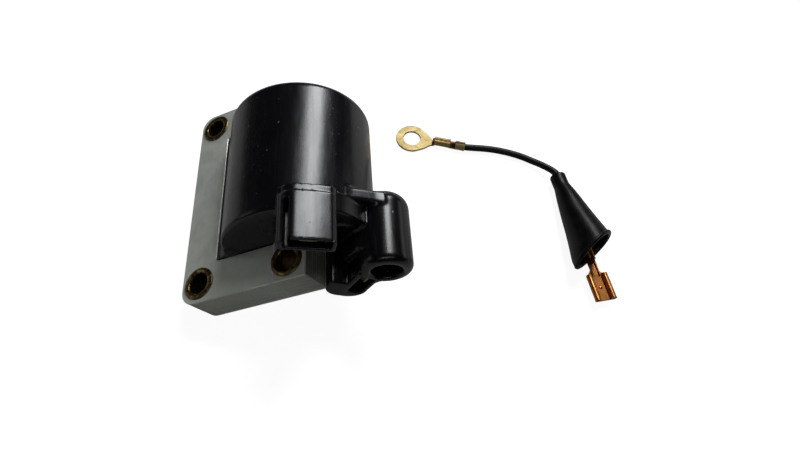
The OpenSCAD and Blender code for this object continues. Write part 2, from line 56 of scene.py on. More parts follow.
# Core
CORE_H, CORE_W, CORE_T = 70.0, 42.0, 11.5
YOKE_BACK, YOKE_ARM, LIMB_W = 11.5, 12.0, 10.5
CORE_CORNER = 4.5
SHEETS = 23
EYELET_IN, EYELET_PITCH_X, EYELET_PITCH_Y = 6.0, 30.0, 58.0
HOLE_R, EYELET_BORE_R, EYELET_RIM_R, RIM_T = 3.75, 3.2, 5.0, 0.5

# Moulded body
AXIS_X = CORE_W - LIMB_W / 2
BODY_R, BODY_START, BODY_END = 22.0, 12.15, 57.0
CAVITY_R, CAVITY_START, RESIN_END = 20.0, 14.15, 55.8
FLARE_R, FLARE_X, FLARE_Z = 6.0, 11.34, 11.75
WINDOW_X0 = 11.65
TUNNEL_W, TUNNEL_T = 10.8, 11.8
WINDING_ROOM_R, WINDING_END = 17.9, 51.6

# Sockets, in frames turned about the coil's axis
LT_TURN = math.radians(52)
LT_LEFT, LT_RIGHT, LT_LOW, LT_TOP = -8.1, 6.6, 21.2, 27.4
LT_LEN, LT_STEP_Y, LT_STEP, LT_SIDE_R = 16.5, 14.2, 0.6, 4.2
LT_OPEN, LT_DEPTH = (-6.5, 5.5, 22.4, 26.4), 12.0
LT_TAB_P, LT_TAB_Q = -0.5, 25.2
SECOND_TURN = math.radians(-51.5)
SECOND_LEFT, SECOND_RIGHT, SECOND_LOW, SECOND_HIGH = -3.3, 12.0, 12.6, 19.6
SECOND_CORNER, SECOND_FOOT = 5.0, (5.0, 7.35)
SECOND_OPEN, SECOND_DEPTH = (0.2, 11.0, 14.2, 18.5), 9.0
SECOND_TAB_P, SECOND_TAB_Q = 8.1, 16.8
SECOND_WALL = 1.2
TAB_T = 0.8
HT_X, HT_Z, HT_R, HT_LEN = 61.2, -5.2, 7.5, 24.0
HT_BORE_R, HT_SEAL_DEPTH, HT_CABLE_R, HT_DEPTH = 4.3, 10.0, 3.7, 18.0
CONTACT_R, CONTACT_END, SPIKE_LEN = 2.4, 22.0, 7.4

# Lead
WIRE_R = 1.25
RING_TURN = math.radians(-15)
RING_R, RING_HOLE_R, RING_T = 6.0, 3.2, 0.8
SHEET_T = 0.4
CRIMP_X0, CRIMP_X1, GRIP_X0, GRIP_X1 = 8.6, 14.6, 16.6, 20.2
CRIMP_R = 1.65
LEAD_Z = 1.65
BOOT_LEN, MOUTH_R, NECK_R, BOOT_WALL, NECK_LEN = 33.8, 8.1, 2.8, 1.3, 5.0
BOOT_HINGE, BOOT_RISE = 4.0, math.radians(8.3)
MOUTH_SLANT = math.radians(27)
GRIP_S0, GRIP_S1, CRIMP_S0, CRIMP_S1 = 26.0, 29.2, 30.6, 34.6
BOX_S0, BOX_S1, BOX_W, RAIL_R = 40.0, 49.2, 7.4, 1.0
BOOT_REST = 0.05
# the wire's points inside the boot, as distances along its axis
BOOT_POINTS = (0, 4, 10, 16, 22, 29.8)

# Route of the wire across the bench, as in the CAD model, in metres
WIRE_ROUTE = [
    (0.0611, 0.0281, 0.0016), (0.0640, 0.0278, 0.0015), (0.0676, 0.0275, 0.0014),
    (0.0713, 0.0269, 0.0014), (0.0749, 0.0260, 0.0014), (0.0785, 0.0248, 0.0014),
    (0.0820, 0.0232, 0.0015), (0.0852, 0.0212, 0.0017), (0.0880, 0.0190, 0.0023),
    (0.0902, 0.0169, 0.0029), (0.0918, 0.0150, 0.0034), (0.0925, 0.0138, 0.0036),
]

# ---- frames ----


def make_frame(at, x, y, z):
    """4x4 matrix from local millimetres to the row frame's metres."""
    m = np.eye(4)
    for i, axis in enumerate((x, y, z)):
        m[:3, i] = np.array(axis) * MM
    m[:3, 3] = at
    return m


def mount_at(name):
    return Vector(mounts[name]["pos_m"])


def mount_axis(name):
    return Vector(mounts[name]["axis"]).normalized()


near_eyelet = mount_at("yoke_eyelet_near")
ACROSS = (mount_at("limb_eyelet_near") - near_eyelet).normalized()
ALONG = (mount_at("yoke_eyelet_far") - near_eyelet).normalized()
STACK = mount_axis("yoke_eyelet_near")
COIL = make_frame(near_eyelet - EYELET_IN * MM * (ACROSS + ALONG), ACROSS, ALONG, STACK)

RING = make_frame(
    mount_at("ring_stud") - Vector((0, 0, RING_T * MM / 2)),
    (math.cos(RING_TURN), math.sin(RING_TURN), 0),
    (-math.sin(RING_TURN), math.cos(RING_TURN), 0),
    (0, 0, 1),
)

boot_axis = mount_axis("lead_receptacle")
boot_side = Vector((0, 0, 1)).cross(boot_axis).normalized()
# Local X points down towards the bench
BOOT = make_frame(
    mount_at("lead_receptacle") - BOX_S1 * MM * boot_axis,
    boot_side.cross(boot_axis), boot_side, boot_axis,
)


def place(points, matrix):
    p = np.asarray(points, float).reshape(-1, 3)
    return p @ matrix[:3, :3].T + matrix[:3, 3]


def socket_frame(turn, p, q, y):
    """X along a socket's flat side, Y outwards from the coil's axis, Z out of its mouth."""
    px, pz = math.sin(turn), -math.cos(turn)
    qx, qz = math.cos(turn), math.sin(turn)
    at = place([(AXIS_X + p * px + q * qx, y, p * pz + q * qz)], COIL)[0]
    x_axis = px * ACROSS + pz * STACK
    y_axis = qx * ACROSS + qz * STACK
    return make_frame(at, x_axis, y_axis, x_axis.cross(y_axis))


# ---- camera ----


def add_object(name, data):
    obj = bpy.data.objects.new(name, data)
    bpy.context.scene.collection.objects.link(obj)
    return obj


def add_camera():
    """Camera fitted to the core, body and eyelets in the photograph."""
    data = bpy.data.cameras.new("studio_camera")
    data.lens = 24.75
    data.sensor_width = 36
    data.clip_start = 0.005
    camera = add_object("studio_camera", data)
    camera.location = (0.01494, -0.09776, 0.16475)
    camera.rotation_euler = [math.radians(a) for a in (29.908, -4.093, -4.331)]
    bpy.context.scene.camera = camera


add_camera()

# ---- materials ----


class Finish:
    """A Principled material whose colour, roughness and bump come from node textures."""

    def __init__(self, name, **sockets):
        self.material = bpy.data.materials.new(name)
        self.material.use_nodes = True
        self.tree = self.material.node_tree
        self.shader = self.tree.nodes["Principled BSDF"]
        self.position = self.add("ShaderNodeTexCoord").outputs["Object"]
        self.normal = None
        for socket, value in sockets.items():
            self.shader.inputs[socket.replace("_", " ")].default_value = value

    def add(self, kind, **settings):
        node = self.tree.nodes.new(kind)
        for key, value in settings.items():
            setattr(node, key, value)
        return node

    def feed(self, socket, value):
        if isinstance(value, bpy.types.NodeSocket):
            self.tree.links.new(value, socket)
        else:
            socket.default_value = value

    def stretched(self, scale):
        node = self.add("ShaderNodeMapping")
        self.feed(node.inputs["Vector"], self.position)
        node.inputs["Scale"].default_value = scale
        return node.outputs["Vector"]

    def noise(self, scale, detail=4.0, roughness=0.5, distortion=0.0, stretch=(1, 1, 1)):
        """Noise of about 1/scale metres."""
        node = self.add("ShaderNodeTexNoise")
        self.feed(node.inputs["Vector"], self.stretched(stretch))
        node.inputs["Scale"].default_value = scale
        node.inputs["Detail"].default_value = detail
        node.inputs["Roughness"].default_value = roughness
        node.inputs["Distortion"].default_value = distortion
        return node.outputs["Fac"]

    def waves(self, scale, direction="X", distortion=0.0, stretch=(1, 1, 1)):
        node = self.add("ShaderNodeTexWave", bands_direction=direction)
        self.feed(node.inputs["Vector"], self.stretched(stretch))
        node.inputs["Scale"].default_value = scale
        node.inputs["Distortion"].default_value = distortion
        return node.outputs["Fac"]

    def ramp(self, fac, low, high, a=0.0, b=1.0):
        """fac from low to high becomes a to b."""
        node = self.add("ShaderNodeMapRange")
        self.feed(node.inputs["Value"], fac)
        for key, value in zip(("From Min", "From Max", "To Min", "To Max"), (low, high, a, b)):
            node.inputs[key].default_value = value
        return node.outputs["Result"]

    def math(self, operation, a, b):
        node = self.add("ShaderNodeMath", operation=operation)
        self.feed(node.inputs[0], a)
        self.feed(node.inputs[1], b)
        return node.outputs[0]

    def mix(self, fac, a, b):
        node = self.add("ShaderNodeMix", data_type="RGBA")
        self.feed(node.inputs["Factor"], fac)
        for socket, value in ((node.inputs[6], a), (node.inputs[7], b)):
            self.feed(socket, value if isinstance(value, bpy.types.NodeSocket) else (*value, 1))
        return node.outputs[2]

    def edges(self, low=0.52, high=0.60):
        """1 on worn outer edges, 0 elsewhere."""
        return self.ramp(self.add("ShaderNodeNewGeometry").outputs["Pointiness"], low, high)

    def hollows(self, low=0.42, high=0.49):
        """1 in creases where dirt gathers, 0 elsewhere."""
        pointed = self.add("ShaderNodeNewGeometry").outputs["Pointiness"]
        return self.ramp(pointed, low, high, 1.0, 0.0)

    def bump(self, height, strength, depth_mm):
        node = self.add("ShaderNodeBump")
        node.inputs["Strength"].default_value = strength
        node.inputs["Distance"].default_value = depth_mm * MM
        self.feed(node.inputs["Height"], height)
        if self.normal is not None:
            self.feed(node.inputs["Normal"], self.normal)
        self.normal = node.outputs["Normal"]

    def done(self, colour, roughness):
        self.feed(self.shader.inputs["Base Color"], colour)
        self.feed(self.shader.inputs["Roughness"], roughness)
        if self.normal is not None:
            self.feed(self.shader.inputs["Normal"], self.normal)
        return self.material


def sheet_face():
    """Zinc-plated rolled steel: a soft mottle over a fine grain along the coil."""
    f = Finish("sheet_face", Metallic=0.40)
    mottle = f.noise(170, 6, 0.6, 0.6)
    grain = f.noise(900, 5, 0.7, stretch=(1, 0.07, 1))
    colour = f.mix(f.ramp(mottle, 0.3, 0.7), (0.60, 0.65, 0.60), (0.80, 0.82, 0.74))
    colour = f.mix(f.ramp(grain, 0.35, 0.8, 0.0, 0.45), colour, (0.86, 0.88, 0.80))
    stains = f.ramp(f.noise(60, 5, 0.6, 1.0), 0.6, 0.75, 0.0, 0.35)
    colour = f.mix(stains, colour, (0.42, 0.41, 0.28))
    colour = f.mix(f.edges(), colour, (0.75, 0.78, 0.72))
    f.bump(grain, 0.25, 0.02)
    f.bump(mottle, 0.2, 0.05)
    return f.done(colour, f.ramp(mottle, 0.25, 0.75, 0.38, 0.52))


def sheet_edge_and_shade():
    """Punched edges of the sheets: scored across, with rust in the joints, and much darker than the
    faces, partly bare steel and partly painted shade on the core's sides.
    """
    f = Finish("sheet_edge_and_shade", Metallic=0.45)
    score = f.noise(1500, 4, 0.7, stretch=(1, 1, 0.08))
    patch = f.noise(140, 5, 0.6, 0.8)
    # these low colours are partly the steel's own and partly painted shade on the core's sides
    colour = f.mix(f.ramp(patch, 0.35, 0.7), (0.12, 0.115, 0.09), (0.23, 0.23, 0.185))
    colour = f.mix(f.ramp(score, 0.5, 0.8, 0.0, 0.4), colour, (0.24, 0.24, 0.20))
    colour = f.mix(f.hollows(), colour, (0.035, 0.03, 0.02))
    colour = f.mix(f.edges(0.54, 0.64), colour, (0.6, 0.62, 0.55))
    f.bump(score, 0.35, 0.03)
    return f.done(colour, f.ramp(score, 0.3, 0.8, 0.42, 0.30))


def metal(name, bright, dull, tarnish, roughness, spots=0.6, patch_scale=260, metallic=1.0):
    """Sheet brass or copper: bright where it is rubbed, duller and darker in patches."""
    f = Finish(name, Metallic=metallic)
    patch = f.noise(patch_scale, 6, 0.6, 0.9)
    fine = f.noise(2400, 3, 0.6)
    colour = f.mix(f.ramp(patch, 0.35, 0.65), bright, dull)
    colour = f.mix(f.ramp(f.noise(700, 5, 0.7, 0.5), spots, spots + 0.12, 0.0, 0.8), colour, tarnish)
    colour = f.mix(f.hollows(), colour, tarnish)
    colour = f.mix(f.edges(0.54, 0.66), colour, bright)
    f.bump(fine, 0.12, 0.02)
    f.bump(patch, 0.15, 0.06)
    return f.done(colour, f.ramp(patch, 0.3, 0.7, roughness[0], roughness[1]))


def moulding():
    """Glossy black moulded resin, a little uneven, with dust and faint rub marks."""
    f = Finish("black_moulding", Metallic=0.0, IOR=1.53)
    swell = f.noise(95, 3, 0.5)
    peel = f.noise(850, 3, 0.5)
    rubs = f.noise(420, 6, 0.7, 0.4, stretch=(1, 0.12, 1))
    dust = f.ramp(f.noise(620, 2, 0.4), 0.765, 0.80)
    specks = f.ramp(f.noise(1500, 1, 0.3), 0.80, 0.83)
    dusty = f.math("MAXIMUM", dust, specks)
    colour = f.mix(f.ramp(swell, 0.3, 0.7), (0.0022, 0.0022, 0.0030), (0.0045, 0.0045, 0.0065))
    colour = f.mix(f.ramp(rubs, 0.55, 0.8, 0.0, 0.35), colour, (0.010, 0.0105, 0.013))
    colour = f.mix(f.math("MULTIPLY", dusty, 0.8), colour, (0.22, 0.22, 0.20))
    f.bump(swell, 0.22, 0.35)
    f.bump(peel, 0.10, 0.035)
    f.bump(dusty, 0.4, 0.05)
    rough = f.ramp(rubs, 0.3, 0.8, 0.19, 0.33)
    return f.done(colour, f.math("MAXIMUM", rough, f.math("MULTIPLY", dusty, 0.7)))


def rubber(name, dark, light, roughness, dust):
    """Soft black rubber or insulation with a bloom and handling marks."""
    f = Finish(name, Metallic=0.0, IOR=1.5, Specular_IOR_Level=0.2)
    bloom = f.noise(180, 6, 0.6, 0.6)
    pores = f.noise(1600, 4, 0.6)
    colour = f.mix(f.ramp(bloom, 0.35, 0.7), dark, light)
    colour = f.mix(f.ramp(pores, 0.66, 0.8, 0.0, dust), colour, (0.09, 0.09, 0.085))
    f.bump(bloom, 0.2, 0.12)
    f.bump(pores, 0.25, 0.03)
    return f.done(colour, f.ramp(bloom, 0.3, 0.7, roughness[0], roughness[1]))


def potting():
    """Cast epoxy: brown-black, with small bubbles on its free surface."""
    f = Finish("potting_resin_finish", Metallic=0.0, IOR=1.55)
    cloud = f.noise(120, 5, 0.6, 1.2)
    bubbles = f.ramp(f.noise(800, 1, 0.2), 0.70, 0.78)
    colour = f.mix(f.ramp(cloud, 0.35, 0.7), (0.016, 0.011, 0.008), (0.04, 0.028, 0.018))
    f.bump(cloud, 0.3, 0.3)
    f.bump(bubbles, -0.5, 0.12)
    return f.done(colour, f.ramp(cloud, 0.3, 0.7, 0.14, 0.3))


def wound_wire():
    """Close-wound enamelled copper: fine turns round the coil's axis, with painted shade between them."""
    f = Finish("wound_wire", Metallic=0.9)
    turns = f.waves(900, "Y", 0.4)
    tone = f.noise(200, 4, 0.6)
    colour = f.mix(f.ramp(tone, 0.3, 0.7), (0.40, 0.13, 0.045), (0.62, 0.24, 0.09))
    # dark lines between the turns: painted shade in the grooves between wires
    colour = f.mix(f.ramp(turns, 0.0, 0.35, 0.75, 0.0), colour, (0.10, 0.03, 0.015))
    f.bump(turns, 0.9, 0.08)
    return f.done(colour, f.ramp(tone, 0.3, 0.7, 0.22, 0.36))


def bobbin_plastic():
    """Natural nylon: warm, slightly translucent, with flow marks."""
    f = Finish("bobbin_plastic_finish", Metallic=0.0, Subsurface_Weight=0.08)
    flow = f.noise(90, 5, 0.55, 1.5, stretch=(1, 0.3, 1))
    grit = f.noise(1800, 3, 0.6)
    colour = f.mix(f.ramp(flow, 0.3, 0.7), (0.62, 0.53, 0.37), (0.76, 0.68, 0.52))
    colour = f.mix(f.ramp(grit, 0.6, 0.8, 0.0, 0.3), colour, (0.5, 0.4, 0.26))
    f.bump(grit, 0.2, 0.03)
    return f.done(colour, f.ramp(flow, 0.3, 0.7, 0.38, 0.52))


def wrap(name, dark, light, roughness, weave):
    """Paper or tape wound round the coil: overlapping turns with a fine surface."""
    f = Finish(name, Metallic=0.0, IOR=1.5)
    laps = f.waves(70, "Y", 0.6)
    fibre = f.noise(weave, 5, 0.7, stretch=(0.2, 1, 0.2))
    colour = f.mix(f.ramp(fibre, 0.3, 0.7), dark, light)
    colour = f.mix(f.ramp(laps, 0.0, 0.12, 0.5, 0.0), colour, dark)
    f.bump(laps, 0.5, 0.06)
    f.bump(fibre, 0.25, 0.02)
    return f.done(colour, f.ramp(fibre, 0.3, 0.7, roughness[0], roughness[1]))


BRASS_DARK = (0.030, 0.014, 0.007)
METALS = {
    # near white and only partly metallic so it lights up: a painted highlight on the core's outer edges
    "core_rim": dict(
        bright=(0.95, 0.96, 0.90), dull=(0.70, 0.71, 0.64), tarnish=(0.25, 0.24, 0.18),
        roughness=(0.26, 0.40), metallic=0.35,
    ),
    "eyelet_brass": dict(
        bright=(0.38, 0.30, 0.12), dull=(0.06, 0.032, 0.014), tarnish=BRASS_DARK,
        roughness=(0.26, 0.42), spots=0.5, patch_scale=420,
    ),
    # darker copy of the eyelet brass: painted shade inside the eyelet holes
    "eyelet_bore": dict(
        bright=(0.17, 0.11, 0.04), dull=(0.045, 0.025, 0.011), tarnish=BRASS_DARK,
        roughness=(0.30, 0.48), spots=0.5, patch_scale=300,
    ),
    # brass raised to near white and only partly metallic so the tabs and contact light up: a painted
    # highlight
    "tab_brass": dict(
        bright=(0.95, 0.92, 0.84), dull=(0.80, 0.75, 0.64), tarnish=(0.30, 0.24, 0.15),
        roughness=(0.22, 0.36), spots=0.66, metallic=0.5,
    ),
    "ring_brass": dict(
        bright=(0.44, 0.35, 0.14), dull=(0.33, 0.22, 0.07), tarnish=(0.13, 0.08, 0.02),
        roughness=(0.38, 0.52), spots=0.62, metallic=0.45,
    ),
    "receptacle_copper": dict(
        bright=(0.92, 0.40, 0.12), dull=(0.66, 0.22, 0.05), tarnish=(0.26, 0.08, 0.02),
        roughness=(0.27, 0.42), spots=0.66,
    ),
    "strand_copper": dict(
        bright=(0.78, 0.38, 0.18), dull=(0.50, 0.22, 0.09), tarnish=(0.16, 0.06, 0.03),
        roughness=(0.20, 0.35),
    ),
}
RUBBERS = {
    "wire_rubber": dict(
        dark=(0.005, 0.005, 0.0055), light=(0.011, 0.011, 0.012), roughness=(0.34, 0.5), dust=0.25
    ),
    "boot_rubber": dict(
        dark=(0.0018, 0.0018, 0.0018), light=(0.0040, 0.0040, 0.0038), roughness=(0.28, 0.42), dust=0.08
    ),
}
WRAPS = {
    "insulation_paper": dict(
        dark=(0.52, 0.42, 0.20), light=(0.72, 0.62, 0.36), roughness=(0.6, 0.8), weave=1500
    ),
    "polyester_tape": dict(
        dark=(0.66, 0.43, 0.05), light=(0.86, 0.62, 0.12), roughness=(0.22, 0.35), weave=700
    ),
}
FINISHES = {
    "core_steel": sheet_face(),
    "core_cut_and_shade": sheet_edge_and_shade(),
    "black_moulding": moulding(),
    "potting": potting(),
    "bobbin_plastic": bobbin_plastic(),
    "copper_wire": wound_wire(),
}
for make_finish, looks in ((metal, METALS), (rubber, RUBBERS), (wrap, WRAPS)):
    for slot, look in looks.items():
        FINISHES[slot] = make_finish(slot + "_finish", **look)

# ---- mesh helpers ----


class Shape:
    """Vertices and faces collected in one local frame."""

    def __init__(self):
        self.points = []
        self.faces = []
        self.count = 0

    def put(self, points, faces):
        points = np.asarray(points, float).reshape(-1, 3)
        self.points.append(points)
        self.faces.extend([tuple(i + self.count for i in f) for f in faces])
        self.count += len(points)
        return self

    def piece(self, name, matrix, body, slot, replaces, sharp=40, bevel=0.0, cut=None):
        """Makes the Blender object, with edges sharp from that many degrees on.

        cut is the slot for faces that don't face along Z."""
        local = np.concatenate(self.points)
        mesh = bpy.data.meshes.new(name)
        mesh.from_pydata(place(local, matrix).tolist(), [], self.faces)
        mesh.materials.append(FINISHES[slot])
        if cut is not None:
            mesh.materials.append(FINISHES[cut])
            z = Vector(matrix[:3, 2]).normalized()
            mesh.update()
            for face in mesh.polygons:
                face.material_index = 0 if abs(face.normal.dot(z)) > 0.6 else 1
        mesh.shade_smooth()
        mesh.set_sharp_from_angle(angle=math.radians(sharp))
        obj = add_object(name, mesh)
        if bevel:
            modifier = obj.modifiers.new("edges", "BEVEL")
            modifier.width = bevel * MM
            modifier.segments = 2
            modifier.limit_method = "ANGLE"
            modifier.angle_limit = math.radians(35)
        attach(obj, body)
        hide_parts(*replaces)
        return obj


def flip(faces):
    return [f[::-1] for f in faces]


def around(sides):
    return np.arange(sides) * 2 * math.pi / sides


def eased(t):
    """0 to 1 with a level start and end."""
    return t * t * (3 - 2 * t)


def unit_tangents(path):
    tangent = np.gradient(path, axis=0)
    return tangent / np.linalg.norm(tangent, axis=1)[:, None]


def ring_faces(rows, sides):
    """Quads between rows of a loft, each row a closed ring of that many points."""
    faces = []
    for i in range(rows - 1):
        for k in range(sides):
            j = (k + 1) % sides
            a, b = i * sides, (i + 1) * sides
            faces.append((a + k, a + j, b + j, b + k))
    return faces


def joining_faces(rows, sides):
    """Quads from the last row of a loft back to its first."""
    last = (rows - 1) * sides
    return [(last + k, last + (k + 1) % sides, (k + 1) % sides, k) for k in range(sides)]


def end_faces(rows, sides):
    """Flat ends of a loft."""
    last = (rows - 1) * sides
    return [tuple(range(sides))[::-1], tuple(last + k for k in range(sides))]


def lathe(profile, sides, closed=False, wobble=None):
    """Surface of revolution about Z of (radius, z) points, with flat ends or a closed ring.

    wobble gives what is added to the radius at each turn and height."""
    turn = around(sides)
    points = []
    for r, z in profile:
        radius = r + (0 if wobble is None else wobble(turn, z))
        points.append(np.stack([radius * np.cos(turn), radius * np.sin(turn), np.full(sides, z)], 1))
    rows = len(profile)
    ends = joining_faces if closed else end_faces
    return np.concatenate(points), ring_faces(rows, sides) + ends(rows, sides)


def arc(cx, cy, r, a0, a1, steps):
    """Points along an arc, angles in degrees."""
    angles = np.radians(np.linspace(a0, a1, steps))
    return [(cx + r * math.cos(a), cy + r * math.sin(a)) for a in angles]


def plate(loops, thickness, bevel):
    """A flat plate of an outline with holes, with rounded edges, centred on Z 0."""
    data = bpy.data.curves.new("plate", "CURVE")
    data.dimensions = "2D"
    data.fill_mode = "BOTH"
    data.bevel_depth = bevel
    data.bevel_resolution = 1
    # the bevel would otherwise stand outside the outline
    data.offset = -bevel
    data.extrude = thickness / 2 - bevel
    for loop in loops:
        spline = data.splines.new("POLY")
        spline.points.add(len(loop) - 1)
        for point, (x, y) in zip(spline.points, loop):
            point.co = (x, y, 0, 1)
        spline.use_cyclic_u = True
    obj = add_object("plate", data)
    depsgraph = bpy.context.evaluated_depsgraph_get()
    mesh = bpy.data.meshes.new_from_object(obj.evaluated_get(depsgraph))
    points = np.array([v.co for v in mesh.vertices])
    faces = [tuple(p.vertices) for p in mesh.polygons]
    bpy.data.objects.remove(obj)
    bpy.data.curves.remove(data)
    bpy.data.meshes.remove(mesh)
    return points, faces


def folded_strip(path, thickness, stations):
    """Sheet metal bent along a path of (up, side) points and drawn along the third axis.

    stations are (distance, scale of the section, how far it is raised)."""
    path = np.asarray(path, float)
    tangent = unit_tangents(path)
    normal = np.stack([-tangent[:, 1], tangent[:, 0]], 1) * thickness / 2
    section = np.concatenate([path + normal, (path - normal)[::-1]])
    sides, n = len(section), len(path)
    points = []
    for s, scale, rise in stations:
        row = section * scale
        points.append(np.stack([row[:, 0] + rise, row[:, 1], np.full(sides, s)], 1))
    faces = ring_faces(len(stations), sides)
    last = (len(stations) - 1) * sides
    for i in range(n - 1):
        cap = (i, i + 1, sides - 2 - i, sides - 1 - i)
        faces.append(cap[::-1])
        faces.append(tuple(last + k for k in cap))
    return np.concatenate(points), faces


def tube(path, radius, sides):
    """A round tube with flat ends along a path that never runs along (0, 1, 0.3)."""
    tangent = unit_tangents(path)
    side = np.cross(tangent, (0, 1, 0.3))
    side /= np.linalg.norm(side, axis=1)[:, None]
    up = np.cross(side, tangent)
    turn = around(sides)
    ring = np.cos(turn)[None, :, None] * side[:, None] + np.sin(turn)[None, :, None] * up[:, None]
    points = (path[:, None] + radius * ring).reshape(-1, 3)
    return points, ring_faces(len(path), sides) + end_faces(len(path), sides)


# ---- the wire ----


def add_wire():
    start = place([(GRIP_X0 - 0.6, 0, LEAD_Z)], RING)
    inside = place([(0, 0, s) for s in BOOT_POINTS], BOOT)
    route = np.concatenate([start, WIRE_ROUTE, inside])
    data = bpy.data.curves.new("wire_insulation", "CURVE")
    data.dimensions = "3D"
    data.bevel_depth = WIRE_R * MM
    data.bevel_resolution = 5
    data.resolution_u = 6
    data.use_fill_caps = True
    spline = data.splines.new("BEZIER")
    spline.bezier_points.add(len(route) - 1)
    for point, at in zip(spline.bezier_points, route):
        point.co = at
        point.handle_left_type = point.handle_right_type = "AUTO"
    data.materials.append(FINISHES["wire_rubber"])
    wire = add_object("wire_insulation", data)
    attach(wire, "lead")
    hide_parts("lead_wire")
    length = float(np.linalg.norm(np.diff(route, axis=0), axis=1).sum())
    return wire, start[0], length


wire, wire_start, wire_length = add_wire()

# ---- core ----

SHEET_PITCH, SHEET_GAP = CORE_T / SHEETS, 0.012
SHEET_EDGE, OUTER_EDGE, RIM_HIGHLIGHT_DEPTH = 0.06, 0.2, 0.4
INNER_CORNER = 0.8
LIMB_CORNER, LIMB_FAR_CORNER = 0.5, 2.0


def eyelet_centres(shift):
    return [(EYELET_IN + shift, y) for y in (EYELET_IN, EYELET_IN + EYELET_PITCH_Y)]


def eyelet_holes(shift):
    return [arc(x, y, HOLE_R, 0, 350, 36) for x, y in eyelet_centres(shift)]


def yoke_loops():
    right = CORE_W - LIMB_W - 0.05
    far_y = CORE_H - YOKE_ARM
    c, inner = CORE_CORNER, INNER_CORNER
    outline = [(right, 0), (right, YOKE_ARM)]
    outline += arc(YOKE_BACK + inner, YOKE_ARM + inner, inner, 270, 180, 5)
    outline += arc(YOKE_BACK + inner, far_y - inner, inner, 180, 90, 5)
    outline += [(right, far_y), (right, CORE_H)]
    outline += arc(c, CORE_H - c, c, 90, 180, 13) + arc(c, c, c, 180, 270, 13)
    return [outline] + eyelet_holes(0)


def limb_loops():
    x0, x1, c, far = CORE_W - LIMB_W, CORE_W, LIMB_CORNER, LIMB_FAR_CORNER
    outline = arc(x1 - c, c, c, 270, 360, 4) + arc(x1 - far, CORE_H - far, far, 0, 90, 6)
    outline += [(x0, CORE_H), (x0, 0)]
    return [outline] + eyelet_holes(EYELET_PITCH_X)


def add_stack(name, loops, node):
    """Each sheet is its own bevelled plate, a few hundredths of a millimetre out of line."""
    sheet = plate(loops, SHEET_PITCH - SHEET_GAP, SHEET_EDGE)
    outer_sheet = plate(loops, SHEET_PITCH - SHEET_GAP, OUTER_EDGE)
    shape = Shape()
    for i in range(SHEETS):
        points, faces = outer_sheet if i in (0, SHEETS - 1) else sheet
        z = -CORE_T / 2 + SHEET_PITCH * (i + 0.5)
        slip = random.normal(0, 0.022, 2).clip(-0.05, 0.05)
        shape.put(points + (slip[0], slip[1], z), faces)
    obj = shape.piece(name, COIL, "coil", "core_steel", [node], sharp=50, cut="core_cut_and_shade")
    # the edges of the two outer sheets get a near-white finish: a painted highlight along the core's rim
    obj.data.materials.append(FINISHES["core_rim"])
    middle = Vector(COIL[:3, 3])
    for face in obj.data.polygons:
        depth = abs((face.center - middle).dot(STACK))
        if depth > (CORE_T / 2 - RIM_HIGHLIGHT_DEPTH) * MM and abs(face.normal.dot(STACK)) < 0.96:
            face.material_index = 2


def eyelet_dents(phase):
    """Small dents round an eyelet, deeper on its two rims."""

    def wobble(turn, z):
        amount = 0.05 if abs(z) > CORE_T / 2 else 0.015
        return amount * (np.sin(3 * turn + phase[0]) + 0.5 * np.sin(7 * turn + phase[1]))

    return wobble


def add_eyelets():
    """Tubes with rolled rims: a crowned lip outside, a soft lead-in to the bore."""
    shape = Shape()
    half = CORE_T / 2
    lip_r = (EYELET_RIM_R - EYELET_BORE_R) / 2
    lip_mid = (EYELET_RIM_R + EYELET_BORE_R) / 2
    top = [
        (lip_mid + lip_r * math.cos(a), half + RIM_T * math.sin(a) ** 0.8)
        for a in np.radians(np.linspace(0, 180, 13))
    ]
    profile = [(HOLE_R - 0.05, -half + 0.02), (HOLE_R - 0.05, half - 0.02)]
    profile += [(EYELET_RIM_R - 0.1, half + 0.02)]
    profile += top + [(EYELET_BORE_R, z) for z in np.linspace(half - 0.4, -half + 0.4, 9)]
    profile += [(r, -z) for r, z in top[::-1]] + [(EYELET_RIM_R - 0.1, -half - 0.02)]
    for x, y in eyelet_centres(0) + eyelet_centres(EYELET_PITCH_X):
        dents = eyelet_dents(random.uniform(0, 2 * math.pi, 2))
        points, faces = lathe(profile, 72, closed=True, wobble=dents)
        shape.put(points + (x, y, 0), faces)
    # the bore and the lip's sides take the darker brass: painted shade inside the holes
    shape.piece(
        "brass_eyelets", COIL, "coil", "eyelet_brass", ["mounting_eyelets"], sharp=60, cut="eyelet_bore"
    )


add_stack("yoke_sheets", yoke_loops(), "yoke_laminations")
add_stack("limb_sheets", limb_loops(), "limb_laminations")
add_eyelets()

# ---- moulded body, as a distance field ----


def length2(a, b):
    return np.sqrt(a * a + b * b)


def rounded(a, b, r):
    """Distance to the corner of two half-spaces at distances a and b, rounded by r."""
    return length2(np.maximum(a + r, 0), np.maximum(b + r, 0)) + np.minimum(np.maximum(a, b) + r, 0) - r


def blend(a, b, k):
    """Smooth union over a blend of size k."""
    h = np.maximum(k - np.abs(a - b), 0) / k
    return np.minimum(a, b) - h * h * k / 4


def carve(a, b, k):
    """a without b, with an edge softened over k."""
    return -blend(-a, b, k)


def between(y, y0, y1):
    return np.abs(y - (y0 + y1) / 2) - (y1 - y0) / 2


def cylinder(p, x, z, r, y0, y1, near, far):
    """Round body along Y with its own edge radius at each end."""
    edge = np.where(p[:, 1] < (y0 + y1) / 2, near, far)
    return rounded(length2(p[:, 0] - x, p[:, 2] - z) - r, between(p[:, 1], y0, y1), edge)


def turned_to(p, turn):
    """Coordinates along and outwards from a socket's flat side."""
    x, z = p[:, 0] - AXIS_X, p[:, 2]
    along = x * math.sin(turn) - z * math.cos(turn)
    out = x * math.cos(turn) + z * math.sin(turn)
    return along, out


